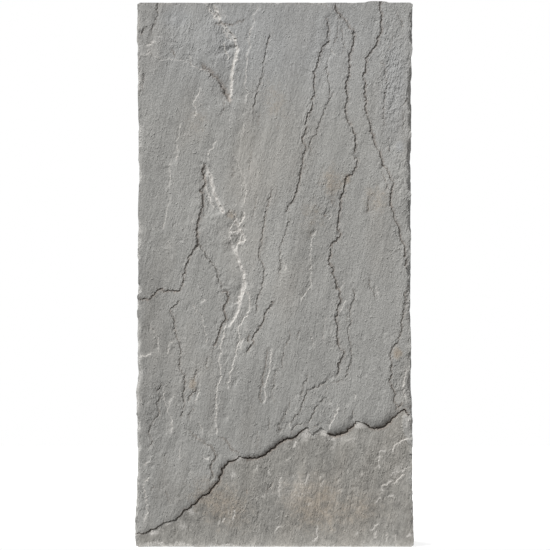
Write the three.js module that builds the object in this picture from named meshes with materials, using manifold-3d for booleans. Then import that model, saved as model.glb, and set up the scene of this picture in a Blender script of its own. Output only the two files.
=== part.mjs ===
// Sandstone edging post: one riven slab of sandstone with hand-dressed edges, set upright along a bed.
// Millimetres, +Z up. The origin is the middle of the base, the riven front looks towards -Y.
import * as THREE from 'three';
import { mergeVertices } from 'three/addons/utils/BufferGeometryUtils.js';
import Module from 'manifold-3d';

const wasm = await Module();
wasm.setup();

// Driving dimensions of the stone
const HEIGHT = 500;
const WIDTH = 250;
const THICKNESS = 80;
const FRONT_Y = -THICKNESS / 2;
const BACK_Y = THICKNESS / 2;

// The dressed sides, as courses from the base up: [height, left edge, right edge]
const COURSES = [
  [0, -124.5, 126.5], [6, -126.8, 127.4], [18, -127.6, 127.2], [30, -127.2, 126.8], [42, -126.6, 126.3],
  [62, -125.8, 126.0], [90, -125.0, 125.7], [112, -124.8, 126.2], [128, -125.8, 126.0],
  [141, -126.4, 125.6], [150, -125.2, 125.4], [160, -123.3, 125.4], [171, -124.6, 125.3],
  [194, -124.9, 124.9], [212, -124.7, 124.5], [230, -124.5, 124.3], [238, -124.0, 124.4],
  [252, -123.3, 124.5], [262, -123.6, 124.6], [268, -125.2, 124.5], [274, -124.3, 124.4],
  [310, -124.3, 124.5], [330, -123.6, 124.7], [345, -123.7, 124.5], [353, -125.0, 124.2],
  [362, -124.4, 124.2], [385, -124.4, 124.5], [405, -124.5, 124.7], [420, -124.8, 124.9],
  [436, -125.5, 125.0], [450, -125.2, 125.1], [458, -125.1, 126.0], [466, -126.0, 126.2],
  [474, -126.5, 126.3], [481, -125.4, 126.3], [494, -125.3, 126.0], [500, -124.8, 125.6],
];

// The block's divisions across its width and thickness, as fractions from left to right and front to back
const COLUMNS = [0, 0.03, 0.15, 0.31, 0.5, 0.69, 0.85, 0.97, 1];
const BEDS = [0, 0.04, 0.3, 0.55, 0.8, 0.96, 1];
const ARRIS_INSET = 0.9;
const ARRIS_RUN = 8;
const BACK_ARRIS_INSET = 2.2;
const BACK_ARRIS_RUN = 10;
const HEWN_DEPTH = 0.9;
const END_ROUGHNESS = 0.7;

// The slow swell of the riven faces is a sum of waves: [height, width, rise and phase of each]
const FRONT_SWELL = [[0.9, 62, 170, 0], [0.7, -150, 74, 1.1]];
const BACK_SWELL = [[1.6, 70, -120, 0.6], [1.2, 160, 92, 0]];

// Tool marks are a product of two waves: [first width, second width, phase of each]
const SIDE_TOOLING = [[13, 9, 0], [29, -17, 0.8]];
const END_TOOLING = [[19, 13, 0], [31, -23, 0]];

// Steps that the split left in the front face. Each has the fall at its line, the side that lies lower, and
// how far the lower side runs before it is level with the face again. Points are [right of middle, height].
const FRONT_LEDGES = [
  // Right of the middle, from top to bottom
  { fall: 2.8, low: 'right', reach: 24, line: [
    [54, 503], [57, 491], [63, 485], [68, 478], [70, 475], [72.5, 472], [72, 463], [70, 455], [68, 449],
    [67.5, 440], [67, 430], [65, 424], [66.5, 415], [64, 403], [66, 394], [71, 386], [74, 376], [73, 366],
    [70, 359], [75, 354], [73.5, 346], [67, 341], [64, 331], [62, 325], [60, 316], [60, 310], [58, 300],
    [57, 291], [60, 287], [57, 283], [51, 276], [50, 266], [50, 259], [53.5, 254], [53, 250], [56, 246],
    [56, 239], [59.5, 234], [58.5, 222], [56.5, 214], [56, 206], [58, 202], [57, 190], [62, 181], [62, 175],
    [59, 166], [56, 158], [52, 154]
  ] },
  { fall: 1.2, low: 'right', reach: 14, line: [
    [52, 156], [45, 151], [40, 147], [33, 145], [28, 140], [26, 133], [24, 127], [19, 122], [17, 117],
    [14, 110]
  ] },
  { fall: 2, low: 'right', reach: 20, line: [
    [46, 490], [49.5, 476], [48, 467], [43, 458], [40, 450], [38, 440], [35.5, 430], [36.5, 420], [34, 406],
    [29.5, 392], [28, 381], [25.5, 374], [28, 367], [25, 353], [22, 335], [18, 322], [13, 314], [9, 307]
  ] },
  { fall: 2.2, low: 'right', reach: 22, line: [
    [97, 503], [98, 489], [97, 476], [94, 465], [87, 453], [83.5, 447], [81, 433], [82.5, 422], [83, 408],
    [84.5, 397], [88, 383], [92, 371], [97, 359], [99, 350], [106, 338], [108, 331], [106, 323], [107, 311],
    [110, 300], [114, 290], [116, 280], [119, 274], [118.5, 266], [121, 259], [124, 251], [129, 246]
  ] },
  { fall: 1.2, low: 'right', reach: 12, line: [
    [53, 453], [48.5, 446], [49, 432], [50, 418], [48, 407], [43, 394], [37, 379], [33, 372], [33, 364],
    [30, 359]
  ] },
  { fall: 0.9, low: 'right', reach: 7, line: [[61, 480], [62.5, 468], [63, 457], [58, 449]] },
  { fall: 1.1, low: 'right', reach: 8, line: [[108, 497], [114, 486], [117, 478], [114, 473]] },
  { fall: 1.1, low: 'right', reach: 12, line: [
    [98, 451], [101, 437], [102, 427], [101, 413], [100, 400], [99, 393], [102, 382]
  ] },
  { fall: 1.3, low: 'right', reach: 8, line: [[126, 431], [123, 421], [120, 408], [115, 404]] },
  { fall: 1.3, low: 'right', reach: 12, line: [
    [14, 307], [12, 296], [9, 286], [5, 275], [5, 262], [4, 252], [1, 249]
  ] },
  { fall: 1.1, low: 'right', reach: 8, line: [[87, 251], [86, 243], [90, 233], [96, 225]] },
  { fall: 1.2, low: 'right', reach: 14, line: [
    [70, 242], [73, 233], [70, 220], [70, 208], [67, 200], [68, 190], [71, 178], [68, 166], [66, 158],
    [65, 151]
  ] },
  { fall: 1.7, low: 'right', reach: 14, line: [
    [125, 241], [119, 233], [119, 222], [116, 210], [116.5, 200], [113, 190], [107, 180], [107, 166],
    [105, 153], [109, 144], [110, 134], [114, 126]
  ] },
  { fall: 1, low: 'right', reach: 12, line: [
    [47, 140], [41, 133], [35, 122], [30, 114], [17, 110], [14, 103]
  ] },
  { fall: 1.2, low: 'left', reach: 12, line: [
    [37, 295], [36, 286], [34, 276], [34, 262], [34, 248], [30, 235], [25, 226]
  ] },
  { fall: 1.2, low: 'left', reach: 8, line: [[124, 167], [119.5, 155], [119.5, 143], [121, 131]] },
  // The middle
  { fall: 1.2, low: 'right', reach: 16, line: [
    [-1, 476], [-6, 464], [-9.5, 450], [-12, 434], [-16, 418], [-19, 406], [-20, 391]
  ] },
  { fall: 1.4, low: 'right', reach: 18, line: [
    [-3, 333], [-5, 321], [-8, 311], [-10, 297], [-12, 283], [-14.5, 268], [-11, 260], [-10, 250],
    [-12, 240], [-16, 229], [-17, 220], [-19, 212]
  ] },
  { fall: 1.8, low: 'right', reach: 14, line: [
    [1, 228], [-7, 219], [-10, 210], [-15, 201], [-20, 193], [-22, 186], [-27, 176]
  ] },
  { fall: 0.9, low: 'right', reach: 10, line: [
    [14, 203], [13, 190], [8, 178], [4, 164], [0, 156], [-3, 140], [0, 130]
  ] },
  { fall: 1, low: 'right', reach: 5, line: [[-5, 185], [-8, 170], [-11, 155], [-14, 138], [-13, 131]] },
  { fall: 0.9, low: 'left', reach: 12, line: [
    [-16, 503], [-16, 492], [-19, 484], [-21.5, 473], [-23, 460], [-26, 442], [-27, 428], [-25, 417],
    [-26, 405]
  ] },
  { fall: 1, low: 'left', reach: 12, line: [
    [-38, 362], [-32, 351], [-28.5, 341], [-26, 330], [-27, 320], [-29, 309], [-33, 293]
  ] },
  { fall: 1.7, low: 'left', reach: 10, line: [
    [-41, 282], [-36, 271], [-31, 261], [-28, 250], [-27.5, 240], [-29, 232]
  ] },
  { fall: 1.3, low: 'left', reach: 14, line: [
    [-31, 234], [-33, 218], [-40, 205], [-46, 196], [-48, 184], [-50, 173], [-49, 160], [-52, 148],
    [-53, 134], [-53, 118], [-54, 101]
  ] },
  { fall: 1, low: 'left', reach: 10, line: [
    [-24, 237], [-23, 225], [-25, 213], [-31, 204], [-32, 190], [-37, 172], [-40, 158], [-43, 144]
  ] },
  // Left of the middle
  { fall: 2.5, low: 'left', reach: 15, line: [
    [-58, 503], [-52, 490], [-46.5, 480], [-40, 473], [-36, 465], [-33.5, 458], [-36, 447], [-38.5, 438],
    [-39.5, 424], [-41, 408]
  ] },
  { fall: 2.2, low: 'right', reach: 12, line: [
    [-62, 438], [-57, 433], [-52, 429], [-47, 420], [-42, 409]
  ] },
  { fall: 1.6, low: 'above', reach: 12, line: [
    [-128, 452], [-113, 453], [-104, 447], [-90, 447], [-80, 446], [-75, 441], [-60, 436]
  ] },
  { fall: 1.2, low: 'right', reach: 10, line: [[-106, 503], [-109, 487], [-113, 475], [-115, 465]] },
  { fall: 1.5, low: 'below', reach: 8, line: [[-115, 480], [-121, 475], [-129, 468]] },
  { fall: 0.8, low: 'left', reach: 14, line: [
    [-85, 391], [-88, 377], [-89, 365], [-93, 352], [-95, 338], [-95, 325], [-99, 308], [-102, 289]
  ] },
  { fall: 2.5, low: 'right', reach: 12, line: [
    [-64, 355], [-67, 346], [-64, 335], [-68, 328], [-66, 321], [-69, 306], [-72, 292], [-71, 275]
  ] },
  { fall: 2, low: 'left', reach: 10, line: [
    [-56, 370], [-61, 358], [-63, 351], [-60, 343], [-56.5, 331], [-53.5, 322], [-49, 313], [-47, 303]
  ] },
  { fall: 1.9, low: 'below', reach: 22, line: [
    [-70, 280], [-76, 270], [-79, 265], [-82.5, 255], [-84, 246], [-87, 237], [-98, 236], [-104, 238],
    [-110, 232], [-114, 229], [-128, 228]
  ] },
  { fall: 1.9, low: 'right', reach: 14, line: [
    [-70, 280], [-66, 272], [-60, 265], [-55, 257], [-52, 247], [-51, 238], [-46, 234], [-43.5, 229],
    [-47, 220], [-45.5, 212], [-49, 203], [-51, 196], [-55, 186], [-59, 179]
  ] },
  { fall: 1.5, low: 'right', reach: 16, line: [
    [-93, 222], [-95, 214], [-92, 204], [-91, 195], [-87, 184], [-87.5, 170], [-86, 161], [-82.5, 152],
    [-84, 140], [-83, 130], [-87, 116]
  ] },
  { fall: 1.5, low: 'right', reach: 14, line: [
    [-80, 110], [-74, 102], [-66, 97], [-58, 91], [-54, 85], [-59, 74], [-57, 66], [-61, 59]
  ] },
  { fall: 1.2, low: 'right', reach: 10, line: [
    [-103, 155], [-107, 146], [-107, 132], [-107, 122], [-113, 113], [-115, 103], [-114, 94], [-118, 87]
  ] },
  { fall: 1, low: 'left', reach: 12, line: [[-117, 211], [-110, 199], [-106, 187], [-106, 174]] },
  { fall: 0.9, low: 'left', reach: 12, line: [[-78, 228], [-71, 217], [-65, 206], [-62, 194], [-61, 182]] },
  { fall: 0.9, low: 'left', reach: 12, line: [
    [-102, 150], [-101, 137], [-96, 122], [-93, 111], [-94, 101]
  ] },
  { fall: 1.1, low: 'left', reach: 8, line: [[-110, 68], [-119, 59], [-117, 46], [-117, 35], [-120, 23]] },
];

// The step above the foot, from left to right. All of the face below it lies one layer lower.
const FOOT_LINE = [
  [-132, 12], [-125, 13], [-116, 15], [-108, 18], [-102, 23], [-94, 25], [-87, 29], [-82, 35], [-72, 41],
  [-66, 48], [-60, 51], [-53, 59], [-49.5, 67], [-46, 74], [-43, 79], [-34, 82], [-20, 82], [-10, 85],
  [-3, 91], [8, 99], [19, 102], [25, 107.5], [31, 109], [36, 104], [43, 109], [51, 103.5], [60, 104],
  [69, 109], [78, 115], [88, 110.5], [97, 110], [106, 115], [112, 122], [118, 127], [122, 121],
  [132, 131],
];
const FOOT_FALL = 2.6;
const FOOT_FALL_AT_BASE = 3.8;
const FOOT_BATTER = 1;

// Smaller steps in the foot's lower layer, at the right
const FOOT_LEDGES = [
  { fall: 1.5, low: 'left', reach: 16, line: [[129, 102], [116, 97], [110, 93], [106, 84]] },
  { fall: 1.3, low: 'left', reach: 18, line: [[129, 78], [119, 68], [112, 60], [103, 58], [99, 46]] },
  { fall: 1.2, low: 'left', reach: 16, line: [[7, 72], [5.5, 60], [4, 45], [3, 34]] },
  { fall: 1, low: 'left', reach: 12, line: [[42, 22], [39, 14], [36, 3]] },
];

// The back face, split the same way but calmer, seen from behind: [right of middle, height]
const BACK_LEDGES = [
  { fall: 3.2, low: 'right', reach: 40, line: [
    [-38, 503], [-34, 470], [-44, 438], [-40, 402], [-52, 366], [-49, 331], [-60, 296], [-56, 262],
    [-66, 236]
  ] },
  { fall: 2.4, low: 'left', reach: 34, line: [
    [66, 503], [60, 466], [64, 431], [52, 396], [55, 352], [43, 316], [47, 282], [36, 244]
  ] },
  { fall: 4, low: 'below', reach: 60, line: [
    [-132, 176], [-104, 170], [-78, 152], [-52, 148], [-24, 131], [6, 128], [31, 108], [62, 104], [88, 86],
    [132, 80]
  ] },
  { fall: 1.8, low: 'right', reach: 20, line: [
    [-98, 460], [-92, 418], [-101, 378], [-96, 334], [-106, 290]
  ] },
  { fall: 1.8, low: 'left', reach: 20, line: [[98, 392], [92, 344], [99, 301], [90, 262], [94, 214]] },
  { fall: 1.5, low: 'right', reach: 20, line: [[2, 300], [-4, 262], [3, 224], [-8, 190]] },
];

// Beds of the stone broken off along the narrow sides: [towards the back, height]
const LEFT_BEDS = [
  { fall: 2.2, low: 'right', reach: 20, line: [[-12, 503], [-14, 452], [-10, 398], [-13, 352], [-9, 306]] },
  { fall: 1.8, low: 'left', reach: 16, line: [[16, 250], [19, 204], [14, 160], [17, 108], [12, 60]] },
  { fall: 1.6, low: 'right', reach: 14, line: [[-22, 214], [-19, 168], [-23, 120]] },
];
const RIGHT_BEDS = [
  { fall: 2, low: 'left', reach: 20, line: [[14, 503], [10, 446], [13, 392], [8, 340]] },
  { fall: 2.2, low: 'right', reach: 18, line: [[-10, 330], [-14, 276], [-9, 226], [-13, 168], [-10, 118]] },
  { fall: 1.5, low: 'left', reach: 14, line: [[22, 190], [18, 142], [23, 92], [20, 40]] },
];

// Chips knocked off the arrises: [which side, height, length along the arris, depth]
const FRONT_CHIPS = [
  ['left', 476, 26, 1.6], ['left', 432, 30, 2.4], ['left', 349, 20, 1.4], ['left', 268, 18, 1.6],
  ['left', 184, 30, 1.3], ['left', 135, 26, 2.6], ['left', 92, 24, 1.2], ['left', 52, 26, 1.6],
  ['right', 472, 24, 1.4], ['right', 418, 34, 2.2], ['right', 356, 20, 1.6], ['right', 304, 28, 1.2],
  ['right', 214, 30, 1.5], ['right', 152, 36, 2.4], ['right', 60, 26, 1.6],
];
const BACK_CHIPS = [
  ['left', 446, 40, 3], ['left', 372, 46, 3.4], ['left', 286, 34, 2.4], ['left', 206, 44, 3.2],
  ['left', 118, 36, 2.6], ['right', 462, 34, 2.6], ['right', 394, 44, 3.4], ['right', 322, 36, 2.6],
  ['right', 240, 46, 3.6], ['right', 150, 34, 2.4], ['right', 66, 40, 3],
];
const END_CHIPS = [
  ['base', -110, 26, 2], ['base', -86, 24, 3], ['base', -42, 34, 3.2], ['base', 4, 30, 2.6],
  ['base', 62, 34, 3], ['base', 96, 26, 2.2], ['top', -96, 30, 1.2], ['top', -6, 26, 1],
  ['top', 40, 22, 1],
];

// Cuts leave the stone by this much, so that no cut face lies on the stone's own face
const CUT_CLEARANCE = 1;
const END_LIFT = 0.3;
const WALL_BATTER = 0.35;
const REACH_OVERRUN = 1.3;
const TAPER_SHARE = 0.3;
const TAPER_MAX = 26;
const CHIP_BALL_DETAIL = 4;

// Reads a dressed edge between two courses
function edgeAt(height, column) {
  const clamped = THREE.MathUtils.clamp(height, 0, HEIGHT);
  let k = 1;
  while (k < COURSES.length - 1 && COURSES[k][0] < clamped) k += 1;
  const [below, above] = [COURSES[k - 1], COURSES[k]];
  const share = (clamped - below[0]) / (above[0] - below[0]);
  return THREE.MathUtils.lerp(below[column], above[column], share);
}

// How far a riven face stands back from the plane of the block
function swell(waves, x, z) {
  const heights = waves.map(([height, width, rise, phase]) => height * Math.sin(x / width + z / rise + phase));
  return heights.reduce((sum, height) => sum + height, 0);
}

function tooling(waves, a, b) {
  const factors = waves.map(([first, second, phase]) => Math.sin(a / first + b / second + phase));
  return factors.reduce((product, factor) => product * factor, 1);
}

// How far the hewn side stands back from its edge line, at a depth y and a height z
function hewnInset(y, z) {
  const frontArris = ARRIS_INSET * Math.max(0, 1 - (y - FRONT_Y) / ARRIS_RUN);
  const backArris = BACK_ARRIS_INSET * Math.max(0, 1 - (BACK_Y - y) / BACK_ARRIS_RUN);
  return frontArris + backArris + HEWN_DEPTH * (0.5 + 0.5 * tooling(SIDE_TOOLING, z, y));
}

// Each face reads a place on it, and how deep that lies under the surface, as a point of the stone
const frontFace = {
  at: (x, z, depth) => new THREE.Vector3(x, FRONT_Y + swell(FRONT_SWELL, x, z) + depth, z),
};
const footFace = { at: (x, z, depth) => frontFace.at(x, z, footDepth(z) + depth) };
const backFace = {
  at: (a, z, depth) => new THREE.Vector3(-a, BACK_Y - swell(BACK_SWELL, -a, z) - depth, z),
};
const leftFace = { at: (y, z, depth) => new THREE.Vector3(edgeAt(z, 1) + hewnInset(y, z) + depth, y, z) };
const rightFace = { at: (y, z, depth) => new THREE.Vector3(edgeAt(z, 2) - hewnInset(y, z) - depth, y, z) };

// Depth of the foot's lower layer, which falls a little more towards the base
function footDepth(z) {
  return THREE.MathUtils.lerp(FOOT_FALL_AT_BASE, FOOT_FALL, Math.max(0, z) / 100);
}

// Turns a closed geometry into a solid that can be cut
function toSolid(geometry) {
  const bare = new THREE.BufferGeometry();
  bare.setAttribute('position', geometry.getAttribute('position').clone());
  if (geometry.index) bare.setIndex(geometry.index.clone());
  const merged = mergeVertices(bare, 1e-4);
  const mesh = new wasm.Mesh({
    numProp: 3,
    vertProperties: new Float32Array(merged.getAttribute('position').array),
    triVerts: new Uint32Array(merged.index.array),
  });
  return new wasm.Manifold(mesh);
}

// The block before the split marks: a box whose vertices are moved to the dressed edges and the swollen faces
function makeBlock() {
  const columns = COLUMNS.length - 1;
  const beds = BEDS.length - 1;
  const courses = COURSES.length - 1;
  const block = new THREE.BoxGeometry(columns, beds, courses, columns, beds, courses);
  const position = block.getAttribute('position');
  for (let n = 0; n < position.count; n += 1) {
    const column = Math.round(position.getX(n) + columns / 2);
    const bed = Math.round(position.getY(n) + beds / 2);
    const course = Math.round(position.getZ(n) + courses / 2);
    const z = COURSES[course][0];
    const flatY = THREE.MathUtils.lerp(FRONT_Y, BACK_Y, BEDS[bed]);
    const inset = hewnInset(flatY, z);
    const x = THREE.MathUtils.lerp(COURSES[course][1] + inset, COURSES[course][2] - inset, COLUMNS[column]);
    const front = FRONT_Y + swell(FRONT_SWELL, x, z);
    const back = BACK_Y - swell(BACK_SWELL, x, z);
    const y = THREE.MathUtils.lerp(front, back, BEDS[bed]);
    const topDressing = course === courses ? END_ROUGHNESS * (tooling(END_TOOLING, x, y) - 1) : 0;
    position.setXYZ(n, x, y, z + topDressing);
  }
  return toSolid(block);
}

// Closes a run of sections into one solid and turns it the right way out
function sweepSections(sections) {
  const perSection = sections[0].length;
  const positions = sections.flat().flatMap((point) => point.toArray());
  const indices = [];
  for (let i = 0; i < sections.length - 1; i += 1) {
    for (let k = 0; k < perSection; k += 1) {
      const a = i * perSection + k;
      const b = i * perSection + ((k + 1) % perSection);
      indices.push(a, b, b + perSection, a, b + perSection, a + perSection);
    }
  }
  const last = (sections.length - 1) * perSection;
  for (let k = 1; k < perSection - 1; k += 1) {
    indices.push(0, k + 1, k, last, last + k, last + k + 1);
  }
  const geometry = new THREE.BufferGeometry();
  geometry.setAttribute('position', new THREE.Float32BufferAttribute(positions, 3));
  geometry.setIndex(signedVolume(positions, indices) < 0 ? indices.reverse() : indices);
  return toSolid(geometry);
}

function signedVolume(positions, indices) {
  const corner = (n) => new THREE.Vector3().fromArray(positions, 3 * n);
  let sum = 0;
  for (let t = 0; t < indices.length; t += 3) {
    sum += corner(indices[t]).dot(corner(indices[t + 1]).cross(corner(indices[t + 2])));
  }
  return sum / 6;
}

// The direction across a ledge towards its lower side
function towardsLowSide(line, low) {
  const [first, last] = [line[0], line[line.length - 1]];
  const across = new THREE.Vector2(last[1] - first[1], first[0] - last[0]).normalize();
  const wanted = { right: [1, 0], left: [-1, 0], above: [0, 1], below: [0, -1] }[low];
  return across.dot(new THREE.Vector2(...wanted)) < 0 ? across.negate() : across;
}

// True where a ledge runs out over an edge of the stone and so keeps its full fall there
function runsOut([a, b]) {
  return b > HEIGHT || Math.abs(a) >= WIDTH / 2;
}

// The stone that a ledge removes: a wedge that falls steeply at the line and rises slowly on the lower side
function ledgeWedge(face, { fall, low, reach, line }) {
  const across = towardsLowSide(line, low);
  const start = new THREE.Vector2(...line[0]);
  const end = new THREE.Vector2(...line[line.length - 1]);
  const length = start.distanceTo(end);
  const along = end.clone().sub(start).normalize();
  const taper = Math.min(TAPER_MAX, TAPER_SHARE * length);
  const sections = line.map(([a, b]) => {
    const travelled = new THREE.Vector2(a, b).sub(start).dot(along);
    const fromStart = runsOut(line[0]) ? 1 : travelled / taper;
    const fromEnd = runsOut(line[line.length - 1]) ? 1 : (length - travelled) / taper;
    const share = THREE.MathUtils.clamp(Math.min(fromStart, fromEnd), 0, 1);
    const depth = THREE.MathUtils.lerp(-END_LIFT, fall, share);
    const place = (offset, deep) => face.at(a + across.x * offset, b + across.y * offset, deep);
    return [
      place(-WALL_BATTER * CUT_CLEARANCE, -CUT_CLEARANCE),
      place(WALL_BATTER * Math.max(depth, 0), depth),
      place(REACH_OVERRUN * reach, -END_LIFT - (REACH_OVERRUN - 1) * fall * share),
    ];
  });
  return sweepSections(sections);
}

// The layer that is missing over the whole foot
function footLayer() {
  const outside = -FOOT_FALL;
  const sections = FOOT_LINE.map(([x, z]) => [
    frontFace.at(x, z - FOOT_BATTER * outside / FOOT_FALL, outside),
    frontFace.at(x, z - FOOT_BATTER, footDepth(z)),
    frontFace.at(x, -CUT_CLEARANCE, FOOT_FALL_AT_BASE),
    frontFace.at(x, -CUT_CLEARANCE, outside),
  ]);
  return sweepSections(sections);
}

// A shallow conchoidal chip: a large ball that touches an arris from outside
function chipBall(point, outward, length, depth) {
  const radius = (length * length) / (8 * depth);
  const ball = new THREE.IcosahedronGeometry(radius, CHIP_BALL_DETAIL);
  const middle = point.clone().addScaledVector(outward.clone().normalize(), radius - depth);
  ball.translate(middle.x, middle.y, middle.z);
  return toSolid(ball);
}

function sideChip(faceY, [side, height, length, depth]) {
  const x = side === 'left' ? edgeAt(height, 1) : edgeAt(height, 2);
  const outward = new THREE.Vector3(Math.sign(x) * 1.3, Math.sign(faceY), 0);
  return chipBall(new THREE.Vector3(x, faceY, height), outward, length, depth);
}

function endChip([end, x, length, depth]) {
  const z = end === 'top' ? HEIGHT : 0;
  const y = end === 'top' ? FRONT_Y : FRONT_Y + FOOT_FALL_AT_BASE;
  const outward = new THREE.Vector3(0, -1, end === 'top' ? 1 : -1);
  return chipBall(new THREE.Vector3(x, y, z), outward, length, depth);
}

function makeStone() {
  const cuts = [
    footLayer(),
    ...FRONT_LEDGES.map((ledge) => ledgeWedge(frontFace, ledge)),
    ...FOOT_LEDGES.map((ledge) => ledgeWedge(footFace, ledge)),
    ...BACK_LEDGES.map((ledge) => ledgeWedge(backFace, ledge)),
    ...LEFT_BEDS.map((ledge) => ledgeWedge(leftFace, ledge)),
    ...RIGHT_BEDS.map((ledge) => ledgeWedge(rightFace, ledge)),
    ...FRONT_CHIPS.map((chip) => sideChip(FRONT_Y, chip)),
    ...BACK_CHIPS.map((chip) => sideChip(BACK_Y, chip)),
    ...END_CHIPS.map((chip) => endChip(chip)),
  ];
  let stone = makeBlock();
  for (const cut of cuts) stone = stone.subtract(cut);
  return stone;
}

// Turns the cut solid back into a geometry with flat facets
function toGeometry(solid) {
  const { vertProperties, triVerts } = solid.getMesh();
  const geometry = new THREE.BufferGeometry();
  geometry.setAttribute('position', new THREE.Float32BufferAttribute(vertProperties, 3));
  geometry.setIndex(new THREE.Uint32BufferAttribute(triVerts, 1));
  geometry.computeVertexNormals();
  return geometry;
}

const sandstone = new THREE.MeshStandardMaterial({
  color: 0x979692, roughness: 0.92, metalness: 0, flatShading: true,
});
const post = new THREE.Mesh(toGeometry(makeStone()), sandstone);
post.name = 'post';

const group = new THREE.Group();
group.add(post);

export default group;
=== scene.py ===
# %% [markdown]
# # A riven sandstone edging post
# A quarry splits sandstone along its beds, and the split never follows one bed for long. It jumps from layer
# to layer and leaves a face of thin steps. This lesson makes such a stone as one closed mesh whose steps are
# real geometry, and leaves only what is smaller than a grain or so to the material.
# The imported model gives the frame: its size, its place and the body that the finished stone rides on.

# %% Load the frame
import math
import random

import bmesh
import bpy
import numpy as np
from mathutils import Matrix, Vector, noise
from mathutils.geometry import delaunay_2d_cdt


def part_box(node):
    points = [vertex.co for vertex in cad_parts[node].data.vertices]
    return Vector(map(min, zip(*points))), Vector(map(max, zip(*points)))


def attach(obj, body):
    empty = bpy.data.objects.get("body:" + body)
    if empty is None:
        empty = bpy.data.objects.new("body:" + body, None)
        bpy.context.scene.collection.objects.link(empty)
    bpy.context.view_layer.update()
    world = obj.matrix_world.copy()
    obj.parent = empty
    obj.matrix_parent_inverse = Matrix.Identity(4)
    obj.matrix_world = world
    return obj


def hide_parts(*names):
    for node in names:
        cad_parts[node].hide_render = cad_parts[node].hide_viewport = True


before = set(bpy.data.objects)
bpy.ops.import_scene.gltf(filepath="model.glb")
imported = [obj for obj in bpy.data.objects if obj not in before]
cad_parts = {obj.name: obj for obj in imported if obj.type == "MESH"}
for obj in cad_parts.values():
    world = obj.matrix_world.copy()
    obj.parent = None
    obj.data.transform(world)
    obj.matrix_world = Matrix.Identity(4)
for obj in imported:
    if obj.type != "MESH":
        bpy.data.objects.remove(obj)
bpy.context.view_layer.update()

MM = 0.001
post_low, post_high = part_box("post")
HEIGHT = round((post_high.z - post_low.z) / MM)
THICKNESS = 80.0
FRONT_Y = -THICKNESS / 2
BACK_Y = THICKNESS / 2
print("height of the post:", HEIGHT, "mm")

# %% [markdown]
# ## The outline
# The narrow sides were dressed by hand with a hammer, so each arris is a chain of shallow scallops. A chain
# of straight courses between measured heights says this better than a curve would: the corners between the
# blows are sharp. Each course gives the height and the left and right edge, in millimetres.

# %% Courses of the dressed sides
COURSES = np.array([
    (0, -125.8, 126.5), (6, -126.8, 127.4), (18, -127.6, 127.2), (30, -127.2, 126.8), (42, -126.6, 126.3),
    (62, -125.8, 126.0), (90, -125.0, 125.7), (112, -125.4, 126.2), (128, -126.4, 125.6),
    (141, -127.0, 125.2), (150, -125.8, 125.0), (160, -123.9, 125.0), (171, -125.2, 124.9),
    (194, -125.5, 124.5), (212, -125.3, 124.1), (230, -125.1, 123.9), (238, -124.6, 124.0),
    (252, -123.9, 124.5), (262, -124.2, 124.6), (268, -125.8, 124.5), (274, -124.9, 124.4),
    (310, -124.3, 124.5), (330, -123.6, 124.7), (345, -123.5, 124.5), (353, -124.8, 124.2),
    (362, -124.2, 124.5), (385, -124.2, 124.8), (405, -124.3, 125.0), (420, -124.6, 125.2),
    (436, -125.3, 125.3), (450, -125.0, 125.1), (458, -124.9, 126.0), (466, -125.8, 126.2),
    (474, -126.3, 126.3), (481, -125.2, 126.3), (494, -125.1, 126.0), (500, -124.6, 125.6),
])


def edge_at(z, column):
    """The dressed edge at a height: column 1 is the left one, column 2 the right one."""
    return np.interp(z, COURSES[:, 0], COURSES[:, column])


print("width at half height:", round(float(edge_at(250, 2) - edge_at(250, 1)), 1), "mm")

# %% [markdown]
# ## The lines of the split
# Every step in the face is a line with a fall: on one side of it the stone lies lower. The light comes from
# the upper left. A step whose low side is at the right shows dark, and one whose low side is at the left or
# above shows bright, often with pale crushed grains. Each line here is read off the stone as [right of
# middle, height] in millimetres. `fall` is the height of the step, `reach` is how far the low side runs
# before it is level again, `pale` is how much crushed stone lies on the line, and the soil value how much its
# foot is darkened, by soil and by painted shade in its groove. The pale lines are thin veins, except for the
# few where the stone is crushed through.

# %% A helper that notes one step
FACE_LEDGES = []

# From this paleness on a line is crushed stone. Below it, it is a thin vein, a little paler than noted.
CRUSHED = 0.9
LEAST_PALE = 0.3
PALE_SHARE = 0.75
VEIN_WIDTH = 0.8


def step(fall, low, reach, line, pale=0.0, soil_and_shade=0.5, width=1.0):
    """Notes one step of the front face. The low side is named as seen from the front."""
    if 0 < pale < CRUSHED:
        pale = LEAST_PALE + PALE_SHARE * pale
        width = min(width, VEIN_WIDTH)
    FACE_LEDGES.append({"fall": fall, "low": low, "reach": reach, "line": line, "pale": pale, "soil_and_shade": soil_and_shade,
                        "width": width})


# %% Steps right of the middle
step(2.8, "right", 30, [
    (54, 503), (55, 495), (57, 491), (60, 489), (63, 485), (66, 482), (68, 478), (70, 475), (72.5, 473),
    (72, 468), (72, 463), (71, 458), (70, 455), (68, 451), (68, 445), (67.5, 440), (68, 434), (67, 430),
    (65, 427), (65, 418), (66.5, 415), (66, 411), (65, 406), (64, 403), (65, 399), (66, 394), (68, 389),
    (71, 386), (72, 381), (74, 376), (74, 371), (73, 366), (71, 361), (70, 359)], soil_and_shade=0.8)
step(2.6, "right", 26, [
    (70, 359), (73, 358), (75.5, 357), (75, 351), (73.5, 346), (71, 342), (67, 341), (65, 339), (64, 333),
    (64, 328), (62, 325), (60, 321), (60, 316), (60, 310), (59, 305), (58, 300), (58, 295), (57, 291),
    (60, 288), (60, 286), (57, 283), (53, 280), (51, 276), (51, 270), (50, 266), (49, 259), (53, 258),
    (54, 254), (52, 252), (54, 249), (56, 246), (57, 241), (56, 238), (59, 237), (60, 234), (59, 230),
    (60, 226), (58, 222), (57, 218), (57, 215), (56, 210), (57, 206), (58, 202), (57, 197), (57, 192),
    (57, 187), (59, 184), (61, 181), (64, 179), (63, 177), (61, 174), (60, 170), (58, 166), (58, 161),
    (56, 158), (53, 156)], soil_and_shade=0.8)
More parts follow.
